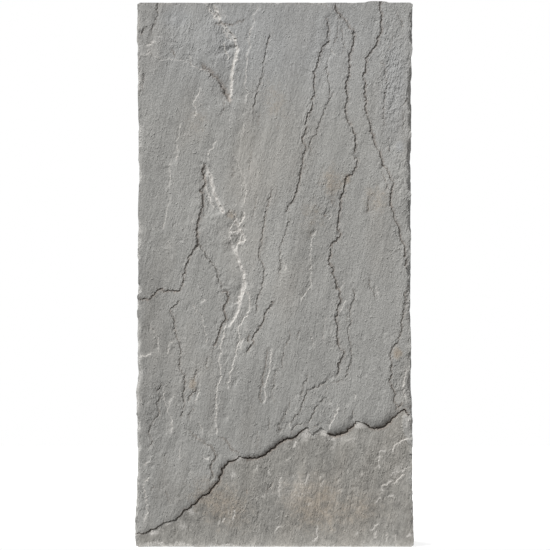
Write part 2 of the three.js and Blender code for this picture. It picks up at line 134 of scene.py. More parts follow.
step(1.3, "right", 14, [
    (53, 156), (48, 154), (45, 151), (42, 150), (40, 147), (37, 148), (33, 145), (29, 143), (28, 140),
    (27, 135), (25, 131), (24, 127), (22, 124), (19, 122), (17, 117), (14, 112), (14, 110)])
step(2.2, "right", 20, [
    (46, 488), (48, 481), (49.5, 476), (48.5, 470), (48, 467), (50, 465), (47, 462), (43, 458), (41, 454),
    (40.5, 451), (40, 448), (38.5, 445), (38, 440), (36, 435), (35.5, 430), (36.5, 426), (35.5, 423),
    (37, 418), (35, 414), (34.5, 408), (34, 404), (32.5, 401), (30, 397), (29.5, 392), (28, 388), (28, 381),
    (25, 377), (26, 371), (28, 368), (27, 364), (26, 358), (25, 353), (24, 347), (23, 340), (22, 335),
    (20, 329), (18, 322), (16, 318), (13, 314), (11, 310), (9, 306)], soil_and_shade=0.7)
step(0.9, "right", 8, [(45, 500), (47, 496), (49, 493)])
step(0.9, "right", 8, [(57, 493), (58, 487), (58.5, 480), (58, 474), (57, 470), (55, 464), (54, 459)])
step(1.0, "right", 7, [(61, 480), (62, 474), (62.5, 468), (64, 463), (63, 457), (61, 453), (58, 449)])
step(0.9, "left", 6, [(52, 459), (54, 455), (57, 451)], pale=0.6)
step(1.3, "right", 12, [
    (52, 453), (50, 451), (48.5, 448), (48.5, 442), (47.5, 438), (49, 434), (48.5, 428), (50, 424), (50, 419),
    (50, 410), (47, 406), (45, 402), (44.5, 397), (42, 392), (40, 388), (38.5, 381), (36, 377), (33, 374),
    (32, 370), (33, 366), (33, 362), (30, 359)])
step(0.8, "right", 6, [(55, 419), (51, 412)])
step(0.6, "right", 8, [(30, 357), (28, 350), (26, 344), (24, 339)])
step(2.3, "right", 24, [
    (97, 503), (96, 495), (98, 489), (97, 483), (98, 476), (97, 472), (94, 468), (94, 464), (92, 460),
    (90, 457), (87, 453), (85, 450), (83, 449), (83.5, 444), (83, 438), (81.5, 434), (81, 431), (82.5, 425),
    (82, 420), (83, 414), (83, 410), (82.5, 405), (84, 400), (85, 395), (87, 391), (87.5, 385), (88, 380),
    (90, 375), (92, 371), (95, 365), (97, 360), (98, 355), (99, 350), (101, 348), (104, 344), (106, 338),
    (108.5, 334), (108, 329), (106, 325), (106, 320), (106, 315), (108, 309), (109, 304), (110, 300),
    (113, 296), (114, 290), (115, 285), (116, 281), (119, 277), (119, 272), (118, 267), (121, 265),
    (120, 260), (121, 256), (124, 251), (129, 247)], soil_and_shade=0.8)
step(1.2, "right", 7, [(98, 351), (98, 343), (100, 340), (102, 335), (103, 331), (103, 327), (106, 324)])
step(1.2, "right", 8, [(109, 495), (112, 490), (114, 486), (116.5, 482), (117, 478), (115, 474)])
step(0.9, "right", 8, [(109, 474), (108, 468), (107, 463), (104, 456)])
step(1.2, "right", 12, [
    (98, 451), (97, 445), (100, 441), (101, 436), (102, 430), (103, 424), (101, 418), (101, 412), (99, 407),
    (100, 400), (99, 393), (101, 388), (102, 382)])
step(1.4, "right", 8, [(127, 431), (123, 425), (123, 418), (121, 412), (120, 408), (115, 405)])
step(1.0, "right", 8, [(117, 402), (118, 393), (118, 385), (119, 377)])
step(0.9, "right", 8, [(106, 379), (104, 371), (104, 366), (105, 361)])
step(1.2, "right", 6, [(120, 360), (127, 350)])
step(0.9, "right", 6, [(54, 331), (53, 325), (52, 320), (53, 316), (56, 313), (60, 311)])
step(1.3, "right", 5, [(84, 323), (86, 319), (85, 314), (86, 310), (81, 308)], soil_and_shade=0.7)
step(0.9, "right", 5, [(46, 311), (45, 305), (47, 300)])
step(0.8, "left", 5, [(53, 309), (52, 303), (49, 300)], pale=0.5)
step(1.4, "right", 12, [
    (14, 307), (13, 301), (12, 296), (10, 290), (9, 286), (7, 281), (5, 277), (5, 271), (4, 265), (5, 258),
    (4, 252), (1, 250)])
step(0.8, "left", 5, [(7, 267), (9, 261), (11, 256), (10, 251)], pale=0.6)
step(1.2, "right", 7, [(87, 251), (86, 245), (87, 239), (89, 236), (91, 232), (95, 226)])
step(0.8, "left", 6, [(93, 245), (94, 239), (95, 235), (94, 228)], pale=0.5)
step(1.3, "right", 14, [
    (70, 242), (71, 238), (73, 234), (73, 229), (71, 225), (70, 220), (69, 215), (70, 208), (69, 204),
    (67, 201), (67, 196), (68, 191), (69, 186), (70, 181), (71, 174), (70, 170), (68, 166), (66, 162),
    (66, 158), (65, 151)])
step(0.7, "right", 4, [(68, 227), (68, 218), (66, 210), (66, 204)])
step(0.8, "left", 8, [(66, 228), (63, 222), (61, 215)], pale=0.6)
step(0.7, "below", 6, [(65, 154), (60, 153), (52, 152)])
step(1.7, "right", 14, [
    (125, 241), (121, 236), (119, 233), (120, 228), (119, 222), (118, 218), (117, 213), (116, 208),
    (115.5, 203), (117, 200), (115, 196), (113, 192), (113, 189), (110, 186), (108, 182), (106, 179),
    (106, 174), (107, 169), (107, 162), (107.5, 158), (105, 153), (107, 148), (109, 144), (110, 139),
    (109, 134), (111, 130), (113, 126)], soil_and_shade=0.7)
step(1.1, "right", 10, [
    (47, 140), (44, 136), (41, 133), (39, 130), (37, 127), (35, 122), (34, 119), (32, 116), (30, 114),
    (25, 114), (21, 113), (17, 110), (15, 106), (14, 101)])
step(1.0, "right", 9, [(32, 162), (30, 156), (27, 151), (26, 148), (25, 143), (24, 139), (25, 133)])
step(0.8, "right", 8, [(14, 138), (13, 128), (10, 124), (9, 119), (6, 115), (3, 112), (2, 102)])
step(0.8, "right", 6, [(11, 110), (7, 109.5), (5, 107), (3, 101)])
step(0.8, "right", 6, [(45, 116), (40, 113), (37, 111), (34, 108)])
step(0.8, "right", 9, [(25, 204), (23, 199), (21, 195), (20, 189)])
step(1.2, "left", 12, [
    (36, 295), (38, 290), (38, 287), (35, 286), (34, 282), (34, 275), (33, 267), (34, 263), (34.5, 258),
    (34, 252), (33, 247), (34, 241), (31, 237), (29, 233), (25, 229), (25, 223)], pale=0.5)
step(0.6, "left", 8, [(48, 215), (47, 207), (46, 200), (45, 187)], pale=0.3)
step(0.6, "left", 6, [(53, 205), (52, 195)], pale=0.3)
step(0.9, "left", 8, [(32, 199), (34, 194), (36, 189), (37, 184), (36, 180)], pale=0.4)
step(0.7, "left", 5, [(57, 239), (60, 237), (63, 241), (64, 246)], pale=0.4)
step(1.2, "left", 8, [(124, 167), (120.5, 160), (119, 152), (119, 144), (121, 138), (120, 131)], pale=0.7)
step(0.8, "left", 6, [(72, 143), (75, 139), (74, 135)], pale=0.7)
step(1.0, "left", 8, [(49, 139), (51, 134), (52, 129)], pale=0.6)
step(1.2, "left", 10, [
    (57, 134), (59, 129), (58, 125), (56, 122), (55, 118), (52, 114), (51, 110), (50, 106)], pale=0.6)
step(0.9, "right", 6, [(70, 117), (72, 123), (73, 127)])
step(1.1, "below", 6, [(110, 126), (112, 128), (116, 131), (119, 134)], soil_and_shade=0.9)

# %% Steps in the middle
step(1.3, "right", 16, [
    (-0.5, 475), (-4, 471), (-6, 464), (-8, 457), (-9.5, 450), (-10.5, 443), (-11, 437), (-13, 430),
    (-15, 424), (-16, 418), (-18, 412), (-19, 406), (-19.5, 400), (-20, 391)])
step(0.6, "right", 8, [(-14, 400), (-15, 392), (-16, 385)])
step(0.7, "right", 9, [(-21, 366), (-22, 357), (-24, 350), (-24, 341)])
step(1.4, "right", 18, [
    (-3, 332), (-3, 326), (-5, 321), (-6, 316), (-8, 311), (-8.5, 306), (-9.5, 301), (-10, 296), (-11, 290),
    (-12, 283), (-13, 277), (-14, 273), (-15, 267), (-14, 263), (-11, 260), (-9.5, 255), (-10, 250),
    (-11, 245), (-12, 240), (-13, 236), (-16, 229), (-17, 225), (-17, 221), (-16, 218), (-19, 212)], soil_and_shade=0.6)
step(0.6, "right", 8, [(-16, 326), (-18, 315), (-20, 305), (-21, 297)])
step(1.9, "right", 14, [
    (1, 228), (-4, 223), (-7, 219), (-9, 214), (-10, 210), (-11, 206), (-14, 203), (-16, 199), (-19, 195),
    (-21, 192), (-20, 189), (-22, 185), (-24, 183), (-26, 180), (-27, 175)], soil_and_shade=0.8)
step(1.2, "right", 3, [(-24.5, 196), (-25, 191), (-23, 186)], soil_and_shade=0.9)
step(1.0, "right", 5, [
    (-5, 185), (-7, 181), (-7, 176), (-8, 171), (-9, 166), (-10, 160), (-11, 155), (-12, 150), (-13, 144),
    (-14, 138), (-13, 131)], soil_and_shade=0.7)
step(0.9, "left", 5, [
    (-3, 185), (-3, 178), (-3, 172), (-4, 166), (-5, 160), (-7, 154), (-8, 148), (-8, 141), (-9, 134),
    (-10, 129)], pale=0.7)
step(0.8, "right", 10, [
    (14, 203), (14, 196), (13, 190), (9, 184), (8, 178), (7, 170), (7, 165), (4, 165), (1, 162), (0, 158),
    (-1, 150), (-2, 145), (-3, 140), (-2, 135), (0, 130)])
step(0.8, "right", 6, [(-4, 119), (-5, 113), (-7, 106)])
step(0.7, "right", 8, [(-15, 111), (-16, 103), (-16, 95), (-17, 87)])
step(0.9, "left", 12, [
    (-16, 503), (-15, 494), (-17, 491), (-20, 489), (-18, 484), (-19.5, 478), (-21.5, 473), (-24, 465),
    (-22, 461), (-24, 454), (-25, 446), (-26, 438), (-26, 430), (-28, 425), (-24, 418), (-26, 412),
    (-26, 405)], pale=0.5)
step(0.7, "left", 7, [(-28, 391), (-28.5, 384), (-29, 377)], pale=0.4)
step(1.0, "left", 12, [
    (-37, 362), (-34, 356), (-33, 352), (-31, 347), (-29, 342), (-27.5, 337), (-26, 331), (-25, 328),
    (-27, 323), (-27, 317), (-30, 311)], pale=0.5)
step(0.8, "left", 6, [(-28, 311), (-27, 305), (-29, 301), (-34, 293)], pale=0.7)
step(0.9, "right", 6, [(-37, 350), (-38, 344), (-39, 338)])
step(1.0, "right", 6, [(-40, 312), (-43, 307), (-46, 302)])
step(0.9, "right", 6, [(-39, 311), (-37, 306), (-35, 300)])
step(2.2, "left", 10, [
    (-40, 281), (-38, 276), (-36, 271), (-34, 267), (-32, 263), (-30, 259), (-28, 254), (-28, 248),
    (-27, 243), (-27, 238), (-28.5, 233), (-31, 228), (-32, 222)], pale=1.0, width=2.0)
step(1.4, "left", 6, [(-26, 284), (-31, 280), (-34, 277), (-34, 271)], pale=0.9, width=0.9)
step(1.3, "left", 6, [(-39, 309), (-35, 302), (-38, 297), (-40, 293), (-41, 286),
    (-40, 281)], pale=0.9, width=0.8)
step(1.2, "left", 5, [(-35, 302), (-32, 293), (-30, 286), (-33.5, 278), (-35, 271)], pale=0.8)
step(1.0, "left", 5, [(-27, 309), (-28, 302), (-32, 296), (-29, 289), (-26, 282), (-31, 277)], pale=0.85)
step(0.8, "above", 4, [(-41, 288), (-36, 290), (-31, 290)], pale=0.9)
step(0.8, "above", 4, [(-38, 297), (-33, 296)], pale=0.8)
step(1.4, "left", 10, [(-28, 243), (-29, 238), (-31, 232), (-32, 228), (-32, 222), (-33, 217), (-35, 213),
    (-37, 209), (-40, 205), (-43, 201)], pale=1.0, width=1.6)
step(1.3, "left", 14, [
    (-42, 206), (-44, 205), (-46, 201), (-46, 196), (-48, 191), (-49, 186), (-48, 181), (-50, 176),
    (-51, 171), (-49, 166), (-49, 161), (-48, 157), (-50, 153), (-52, 149), (-53, 143), (-53, 135),
    (-54, 127), (-53, 121), (-54, 117), (-53, 112), (-53, 106), (-54, 101)], pale=0.7)
step(1.1, "left", 8, [
    (-25, 237), (-23, 231), (-23, 226), (-22, 221), (-24, 213), (-28, 210), (-30, 206), (-33, 202),
    (-33, 197), (-32, 192), (-33, 187), (-34, 182), (-35, 177), (-37, 172), (-38, 168), (-39, 163),
    (-41, 159), (-41, 152), (-43, 144)], pale=0.8)
step(0.8, "left", 4, [(-27, 193), (-31, 186), (-29, 181)], pale=0.9)
step(1.0, "right", 5, [(-53, 101), (-48, 100), (-43, 96), (-40, 89), (-34, 87), (-30, 85)], soil_and_shade=0.8)

# %% Steps left of the middle
step(2.6, "left", 16, [
    (-57, 503), (-55, 497), (-52, 490), (-49, 483), (-46.5, 480), (-43, 476), (-40, 473), (-38, 470),
    (-36, 465), (-34, 460), (-33.5, 457)], pale=0.9, width=1.8)
step(2.8, "left", 12, [
    (-35, 463), (-33.5, 458), (-35, 450), (-37, 444), (-38.5, 438), (-39, 430), (-39.5, 424), (-40, 415),
    (-41, 408)], pale=1.0, width=2.0)
step(1.4, "left", 6, [(-63, 501), (-57, 491), (-52, 484)], pale=0.9, width=1.3)
step(1.6, "left", 6, [(-54.5, 499), (-51, 489), (-50, 483)], pale=1.0, width=1.6)
step(1.2, "left", 5, [(-48, 478.5), (-43.5, 469), (-39, 464)], pale=0.85)
step(1.4, "left", 7, [(-46, 466), (-46, 461), (-44, 455), (-42, 451), (-43, 446)], pale=0.8, width=1.5)
step(1.1, "below", 7, [
    (-59, 480), (-50, 482), (-45, 481.5), (-38, 480), (-36, 482), (-30, 483), (-28.5, 487)], soil_and_shade=0.8)
step(3.2, "right", 12, [(-70, 443), (-66, 440), (-62, 438), (-57, 433), (-53, 430), (-50, 425), (-47, 420),
    (-45, 415), (-42, 409), (-40, 404)], soil_and_shade=0.9, width=1.5)
step(0.8, "right", 8, [(-48, 413), (-46, 407), (-48, 401), (-49, 398), (-52, 392)])
step(1.0, "above", 14, [
    (-129, 452), (-122, 452), (-113, 453), (-104, 447), (-90, 447), (-80, 446), (-75, 441), (-66, 439),
    (-60, 436)], pale=0.35)
step(0.8, "left", 6, [(-78, 453), (-77, 448), (-75, 443), (-73, 440)], pale=0.5)
step(1.0, "right", 5, [(-96, 458), (-93, 453), (-90, 448)], soil_and_shade=0.7)
step(1.0, "above", 5, [(-117, 459), (-113, 462), (-108, 464)], pale=0.8)
step(1.3, "right", 10, [
    (-106.5, 503), (-108, 492), (-109, 487), (-110.5, 482), (-112, 478), (-113.5, 474), (-115, 469),
    (-114.5, 466)])
step(1.6, "below", 8, [(-116, 480), (-121, 475), (-125, 469.5), (-129, 466)], soil_and_shade=0.7)
step(1.0, "right", 6, [(-121.5, 442), (-121, 436), (-120.5, 430), (-121.5, 424), (-121, 420), (-126, 415)])
step(1.2, "left", 7, [(-123, 141), (-121.5, 134), (-124, 128)], pale=0.6)
step(0.8, "left", 9, [
    (-68, 425), (-67.5, 421), (-70, 415), (-72, 411), (-74, 408), (-72, 403), (-71.5, 400), (-75, 395),
    (-74, 392)], pale=0.6)
step(0.9, "left", 12, [
    (-85, 391), (-86, 386), (-88, 377), (-90, 373), (-89, 368), (-89, 362), (-90, 352)], pale=0.4)
step(0.9, "left", 12, [
    (-92, 352), (-97, 351), (-95, 343), (-95.5, 338), (-95, 333), (-98, 330)], pale=0.5)
step(0.8, "left", 12, [
    (-94, 325), (-96, 318), (-98, 313), (-99, 308), (-100, 302), (-102, 289)], pale=0.4)
step(1.0, "left", 8, [(-52, 376), (-56, 369), (-60, 362), (-61, 358), (-63, 353)], pale=0.5)
step(2.2, "left", 12, [
    (-63, 353), (-62, 348), (-61, 344), (-58.5, 341), (-57.5, 336),
    (-56.5, 331), (-55.5, 325), (-53.5, 322), (-51.5, 317), (-48.5, 313), (-47, 305)], pale=1.0, width=2.2)
step(1.1, "left", 5, [
    (-64, 341), (-63, 331), (-61, 326), (-58, 322), (-59, 318), (-54, 311)], pale=0.9, width=1.2)
step(2.6, "right", 11, [
    (-64, 354), (-67, 346), (-65, 341), (-64, 334), (-69, 327), (-66, 325), (-66.5, 320), (-67, 315),
    (-68, 310), (-69, 305), (-70, 301), (-71.5, 297), (-72, 290), (-71.5, 285), (-71, 277), (-73, 272)],
    soil_and_shade=0.9)
step(0.8, "right", 5, [(-63, 308), (-66, 303), (-70, 296)])
step(1.9, "below", 22, [(-71, 284), (-71, 279), (-73, 275), (-75, 273), (-76, 270), (-79, 267), (-79, 263),
    (-81, 260), (-82.5, 255), (-84, 249), (-84, 245), (-86, 240), (-87, 236), (-92, 236), (-98, 236),
    (-101, 235), (-104, 238), (-108, 236), (-110, 232), (-114, 229), (-120, 229), (-129, 228)], soil_and_shade=0.8)
step(2.3, "right", 10, [(-71, 284), (-70, 279), (-68, 276), (-66, 272), (-63, 266), (-60, 265), (-58, 261),
    (-55, 257), (-53, 253), (-52, 247), (-50, 241), (-48, 236)], soil_and_shade=0.5)
step(2.1, "right", 12, [
    (-52, 238), (-49, 234), (-43.5, 234), (-43, 228), (-45, 224), (-47, 221), (-48, 217), (-46, 214),
    (-45, 211), (-47, 207), (-49, 203), (-51, 199), (-52, 195), (-54, 190), (-55, 186), (-56, 183),
    (-59, 179)], soil_and_shade=0.9)
step(0.7, "right", 8, [(-60, 181), (-62, 172), (-63, 166), (-64, 161)])
step(1.6, "right", 16, [
    (-84, 229), (-88, 226), (-91, 223), (-93, 221), (-96, 219), (-95, 214), (-93, 209), (-92, 203),
    (-93, 199), (-90, 194), (-89, 190), (-87, 185), (-86, 181), (-87, 175), (-87.5, 170), (-88, 166),
    (-86, 161), (-83, 158), (-82, 153), (-82.5, 148), (-84, 143), (-84, 135), (-83, 130), (-85, 124),
    (-87, 116)], soil_and_shade=0.6)
step(1.3, "right", 10, [(-103, 154), (-104, 149), (-106, 146), (-110, 140)])
step(1.2, "right", 10, [
    (-104, 145), (-105, 139), (-106, 136), (-108, 133), (-108, 130), (-106, 124), (-109, 119), (-111, 117),
    (-113, 113), (-114, 110), (-115, 107), (-115, 101), (-112, 98), (-114, 94), (-118, 88)])
step(1.0, "right", 8, [(-71, 167), (-72, 160), (-74, 156), (-77, 147)])
step(1.3, "right", 9, [
    (-71, 148), (-73, 143), (-76, 142), (-78, 139), (-79, 135), (-80, 132)], soil_and_shade=0.7)
step(1.0, "right", 8, [(-77, 131), (-75, 126), (-78, 123), (-80, 116)])
step(1.7, "right", 12, [
    (-80, 109), (-77, 105), (-74, 102), (-70, 99), (-66, 97), (-62, 94), (-58, 91), (-56, 88), (-54, 84),
    (-56, 80), (-60, 75), (-59, 72), (-57, 66), (-60, 60)], soil_and_shade=0.7)
step(1.0, "left", 12, [
    (-117, 210), (-113, 204), (-110, 199), (-108, 195), (-106.5, 191), (-106, 185), (-105.5, 180),
    (-106, 175)], pale=0.5)
step(0.9, "left", 12, [
    (-78, 227), (-75, 224), (-73, 221), (-71, 217), (-66, 213), (-65, 208), (-64, 203), (-64, 198),
    (-62, 196), (-62, 190), (-61, 183)], pale=0.5)
step(0.8, "above", 4, [(-69, 223), (-66, 225), (-63, 228)], pale=0.9)
step(0.7, "left", 9, [(-90, 191), (-96, 186), (-97, 180), (-99, 175)], pale=0.4)
step(0.8, "above", 6, [(-125, 172), (-121, 176), (-118, 175), (-112, 180)], pale=0.7)
step(0.6, "left", 8, [(-97, 284), (-96, 275)], pale=0.4)
step(1.0, "left", 12, [
    (-102, 149), (-101, 142), (-101, 136), (-99, 130), (-97, 124), (-95, 120), (-94, 115), (-93, 110),
    (-94, 102)], pale=0.6)
step(0.8, "left", 7, [(-92, 144), (-93, 138), (-96, 132), (-97, 126)], pale=0.4)
step(0.9, "left", 6, [(-69, 147), (-70, 140), (-71, 136), (-73, 131)], pale=0.7)
step(0.8, "left", 6, [(-69, 118), (-68, 112), (-66, 107), (-65, 102)], pale=0.5)
step(1.1, "left", 9, [
    (-111, 67), (-116, 63), (-119, 60), (-120, 56), (-119, 51), (-117, 47), (-117, 41), (-117, 36),
    (-116, 31), (-118, 28), (-121, 24)], pale=0.6)
step(0.8, "right", 8, [(-101, 87), (-101.5, 76)])
step(0.8, "right", 6, [(-101, 55), (-100, 50), (-98, 45), (-96, 41), (-97, 37)])
step(0.8, "right", 5, [(-111, 58), (-113, 53), (-115, 50)])
step(0.7, "left", 5, [(-88, 99), (-90, 92), (-92, 87)], pale=0.4)
step(0.7, "left", 5, [(-86, 97), (-87, 88), (-87, 79)], pale=0.4)
step(0.8, "above", 6, [(-111, 86), (-114, 80), (-121, 73)], pale=0.4)
step(0.9, "above", 4, [(-67, 85), (-63, 81), (-59, 84)], pale=0.9)

# %% Small steps in the foot's lower layer
step(1.5, "above", 14, [
    (129, 101), (120, 99), (116, 97), (112, 95), (110, 93), (109, 88), (107, 85)], pale=0.5)
step(0.8, "above", 5, [(103, 89), (95, 87)], pale=0.5)
step(0.9, "left", 8, [(97, 87), (96.5, 80), (96, 76), (98, 71)], pale=0.5)
step(1.3, "above", 16, [
    (128, 78), (123, 73), (118, 70), (119, 66), (115, 63), (112, 60), (105, 60), (101, 57), (99, 54),
    (99, 48)], pale=0.5)
step(0.7, "above", 8, [(99, 47), (95, 43), (91, 39)], pale=0.4)
step(0.7, "above", 6, [(111, 49), (103, 45)], pale=0.4)
step(0.8, "above", 6, [(87, 14), (92, 18), (97, 23)], pale=0.4)
step(1.0, "left", 8, [(41, 21), (39, 16), (40, 10), (38, 6), (35, 3)], pale=0.5)
step(0.8, "above", 6, [(-1, 12), (6, 21)], pale=0.4)
step(1.0, "left", 14, [(6, 69), (5.5, 60), (4.5, 52), (4, 44)], pale=0.4)
step(0.8, "left", 8, [(32, 70), (30, 63), (28, 56)], pale=0.4)
step(0.7, "left", 6, [(94, 16), (93, 4)], pale=0.3)
step(0.7, "left", 6, [(104, 15), (102, 3)], pale=0.3)
step(0.7, "left", 5, [(112, 13), (112, 4)], pale=0.3)
step(0.7, "right", 6, [(62, 41), (61, 32)])
step(0.7, "right", 7, [(71, 61), (72, 50), (70, 44)])
step(0.8, "left", 5, [(-36, 35), (-37, 29), (-39, 24)], pale=0.5)
step(0.8, "left", 5, [(-46, 28), (-47, 22)], pale=0.4)
step(0.9, "right", 6, [(1, 64), (-3, 58), (-6, 54), (-8, 51), (-7, 46)])
step(0.9, "right", 4, [(-25, 54), (-26, 48)], soil_and_shade=0.8)
step(1.0, "above", 6, [(122, 8), (126, 14)], pale=0.6)
print("steps in the face:", len(FACE_LEDGES))

# %% [markdown]
# ## The step above the foot
# Low down, one whole layer is missing. Its edge runs from the bottom left up to the right. The layer above
# rounds off towards the edge, and weather has opened a narrow dark groove under it, so the groove shows far
# more than the millimetre that the face falls at the line. The rest of the missing layer tapers off below it.

# %% The line of the step above the foot
FOOT_LINE = [
    (-132, 12), (-125, 13), (-120, 13.5), (-116, 15), (-112, 17), (-108, 18), (-105, 20), (-102, 23),
    (-98, 23.5), (-94, 25), (-90, 26.5), (-87, 29), (-85, 32), (-82, 35), (-79, 36), (-76, 39), (-72, 41),
    (-69, 45), (-66, 48), (-62, 49.5), (-60, 51), (-57, 55), (-53, 59), (-51, 62), (-49.5, 67), (-48.5, 71),
    (-46, 74), (-43, 79), (-38, 80), (-34, 82), (-31, 84), (-27, 82), (-20, 82), (-15, 83), (-10, 85),
    (-6, 88), (-3, 91), (0, 92), (4, 96), (8, 99), (14, 100), (19, 102), (22, 105), (25, 107.5), (28, 110),
    (31, 110), (33, 105), (36, 103), (39, 107), (43, 110), (47, 107), (51, 104), (56, 102.5), (60, 104),
    (65, 106), (69, 109), (73, 113), (76, 116), (78, 115), (82, 114.5), (85, 113), (88, 110.5), (92, 109.5),
    (97, 110), (102, 112), (106, 115), (109, 119), (112, 122), (115, 124), (118, 127), (121, 126),
    (123, 121), (125, 130), (132, 132),
]

# The fall of the missing layer high up, at the base and right at its edge, and the run of the slope between
FOOT_FALL = 2.6
FOOT_FALL_AT_BASE = 3.8
FALL_AT_LINE = 1.1
SLOPE_RUN = 26.0
FOOT_WALL = 0.6

# The groove under the step and the rounded lip over it: [x, groove depth, groove width, lip fall]
FOOT_GROOVE = np.array([
    (-132, 0.8, 1.0, 0.4), (-112, 1.1, 1.1, 0.5), (-98, 0.6, 1.0, 0.4), (-84, 1.4, 1.2, 0.8),
    (-60, 2.0, 1.4, 1.2), (-50, 2.3, 1.8, 1.6), (-38, 1.8, 1.5, 1.2), (-31, 0.3, 0.8, 0.3),
    (-26, 2.3, 1.7, 1.6), (0, 2.4, 1.8, 1.8), (22, 2.1, 1.5, 1.2), (28, 1.0, 1.0, 0.4), (32, 0.4, 1.0, 0.2),
    (39, 0.3, 1.0, 0.2), (48, 0.4, 1.0, 0.8), (52, 3.0, 2.0, 3.0), (62, 3.4, 2.3, 3.8), (72, 2.6, 1.6, 2.6),
    (76, 0.6, 1.0, 0.6), (82, 0.5, 1.0, 0.6), (86, 2.6, 1.4, 2.6), (98, 3.2, 2.0, 3.8),
    (106, 2.6, 2.0, 3.4), (112, 1.2, 1.2, 1.8), (120, 1.6, 1.2, 0.8), (132, 1.6, 1.0, 0.3),
])
LIP_RUN = 9.0
LIP_RUN_LEFT = 4.5

# %% [markdown]
# ## Measuring from a broken line
# A step needs two facts at every point of the face: how far it is from the line, and on which side. The code
# takes the nearest segment for the distance, and for the side the normal of that segment, or the sum of the
# two normals where the nearest place is a corner. Numpy does this for thousands of points at once.

# %% Distance, side and place along a line
LOW_SIDES = {"right": (1, 0), "left": (-1, 0), "above": (0, 1), "below": (0, -1)}


def line_normals(line, low):
    """The length and the normal of each segment, the normals pointing to the low side."""
    spans = np.diff(line, axis=0)
    lengths = np.hypot(spans[:, 0], spans[:, 1])
    normals = np.column_stack((spans[:, 1], -spans[:, 0])) / lengths[:, None]
    chord = line[-1] - line[0]
    if np.dot((chord[1], -chord[0]), LOW_SIDES[low]) < 0:
        normals = -normals
    return lengths, normals


def corner_normals(normals):
    """The mean normal at each corner of a line."""
    padded = np.vstack((normals[:1], normals, normals[-1:]))
    summed = padded[:-1] + padded[1:]
    return summed / np.maximum(np.hypot(summed[:, 0], summed[:, 1]), 1e-6)[:, None]


def measure(points, line, low):
    """Signed distance of points to a line, positive on its low side, and the length walked along it."""
    lengths, normals = line_normals(line, low)
    corners = corner_normals(normals)
    spans = np.diff(line, axis=0)
    relative = points[:, None, :] - line[None, :-1, :]
    share = np.clip((relative * spans).sum(2) / lengths ** 2, 0, 1)
    gaps = relative - share[..., None] * spans
    nearest = np.argmin((gaps ** 2).sum(2), axis=1)
    rows = np.arange(len(points))
    gap = gaps[rows, nearest]
    along = share[rows, nearest]
    side = np.where((along <= 0)[:, None], corners[nearest],
                    np.where((along >= 1)[:, None], corners[nearest + 1], normals[nearest]))
    distance = np.hypot(gap[:, 0], gap[:, 1]) * np.where((gap * side).sum(1) < 0, -1, 1)
    walked = np.concatenate(((0,), np.cumsum(lengths)))[nearest] + along * lengths[nearest]
    return distance, walked


# %% [markdown]
# ## A fracture wanders
# The lines above have a point every few millimetres. A real fracture wanders between them, so each line gets
# extra points that are nudged sideways by seeded random amounts, about half a millimetre.

# %% Roughen a line
# The spacing of the points and how far they wander. Points read off the stone move by a smaller share.
LINE_STEP = 1.5
WANDER = 0.6
FOOT_WANDER = 0.55
CORNER_SHARE = 0.4


def roughen(line, seed, spacing=LINE_STEP, amount=WANDER):
    """A copy of a line with extra points that wander to either side."""
    draw = random.Random(seed)
    corners = [np.array(corner, float) for corner in line]
    points = [corners[0]]
    for start, end in zip(corners, corners[1:]):
        span = end - start
        count = max(1, round(float(np.hypot(*span)) / spacing))
        normal = np.array((span[1], -span[0])) / np.hypot(*span)
        for k in range(1, count + 1):
            nudge = draw.gauss(0, amount) * (1 if k < count else CORNER_SHARE)
            points.append(start + span * k / count + normal * nudge)
    return np.array(points)


for number, ledge in enumerate(FACE_LEDGES):
    ledge["path"] = roughen(ledge["line"], seed=100 + number)
foot_path = roughen(FOOT_LINE, seed=7, amount=FOOT_WANDER)
print("points on the lines:", sum(len(ledge["path"]) for ledge in FACE_LEDGES))

# %% [markdown]
# ## Depth of the face
# The depth of a point is the sum of a slow swell, the missing layer of the foot and every step. A step falls
# at its line and dies away over its reach, so the low side rises back to the face without a second edge.
# Where the low side is in the shade, grains have washed out of the corner too, so a narrow groove follows the
# line. That groove, more than the fall, is what draws the thin dark lines.

# %% The form of each step
# The width of a step's wall and the length over which its ends fade
WALL = 0.9
TAPER = 8.0

# The share of the noted fall that a step gets in the shade and in the light, and the share of its reach
FALL_SHARE = 0.34
BRIGHT_SHARE = 0.85
REACH_SHARE = 1.9

# The fall varies along the line, and this variation dies away over a short run from it
FLUTTER_RUN = 2.5

# Crushed lines fade over a shorter length and vary less
CRUSHED_TAPER = 0.6
CRUSHED_FLUTTER = 0.2

# How far beyond its reach a step is worked out, and from where on a line runs out over the stone's side
MARGIN = 3.0
NEAR_EDGE = 124.0


def set_form(ledge):
    """Turns a noted step into the depths and widths that the mesh gets."""
    shaded = ledge["pale"] == 0
    ledge["drop"] = ledge["fall"] * (FALL_SHARE if shaded else BRIGHT_SHARE)
    ledge["run"] = ledge["reach"] * REACH_SHARE
    ledge["wall"] = WALL * ledge["width"] if shaded else max(WALL / 2, 0.8 * ledge["width"])
    ledge["groove"] = 0.08 + 0.14 * ledge["fall"] if shaded else 0.0
    ledge["groove_width"] = (0.8 + 0.5 * ledge["fall"]) * ledge["width"] if shaded else ledge["wall"] / 2
    ledge["chippy"] = min(0.7, 0.15 + 0.25 * ledge["fall"])
    ledge["length"] = float(np.hypot(*np.diff(ledge["path"], axis=0).T).sum())


for ledge in FACE_LEDGES:
    set_form(ledge)


# %% Depth of one step
def along_share(walked, total, line, taper):
    """1 along a step, falling to 0 at each end that doesn't run out over the stone's edge."""
    share = np.ones_like(walked)
    taper = min(taper, 0.3 * total)
    for at_end, distance in ((line[0], walked), (line[-1], total - walked)):
        if abs(at_end[0]) < NEAR_EDGE and at_end[1] < HEIGHT:
            share = np.minimum(share, distance / taper)
    return np.clip(share, 0, 1)


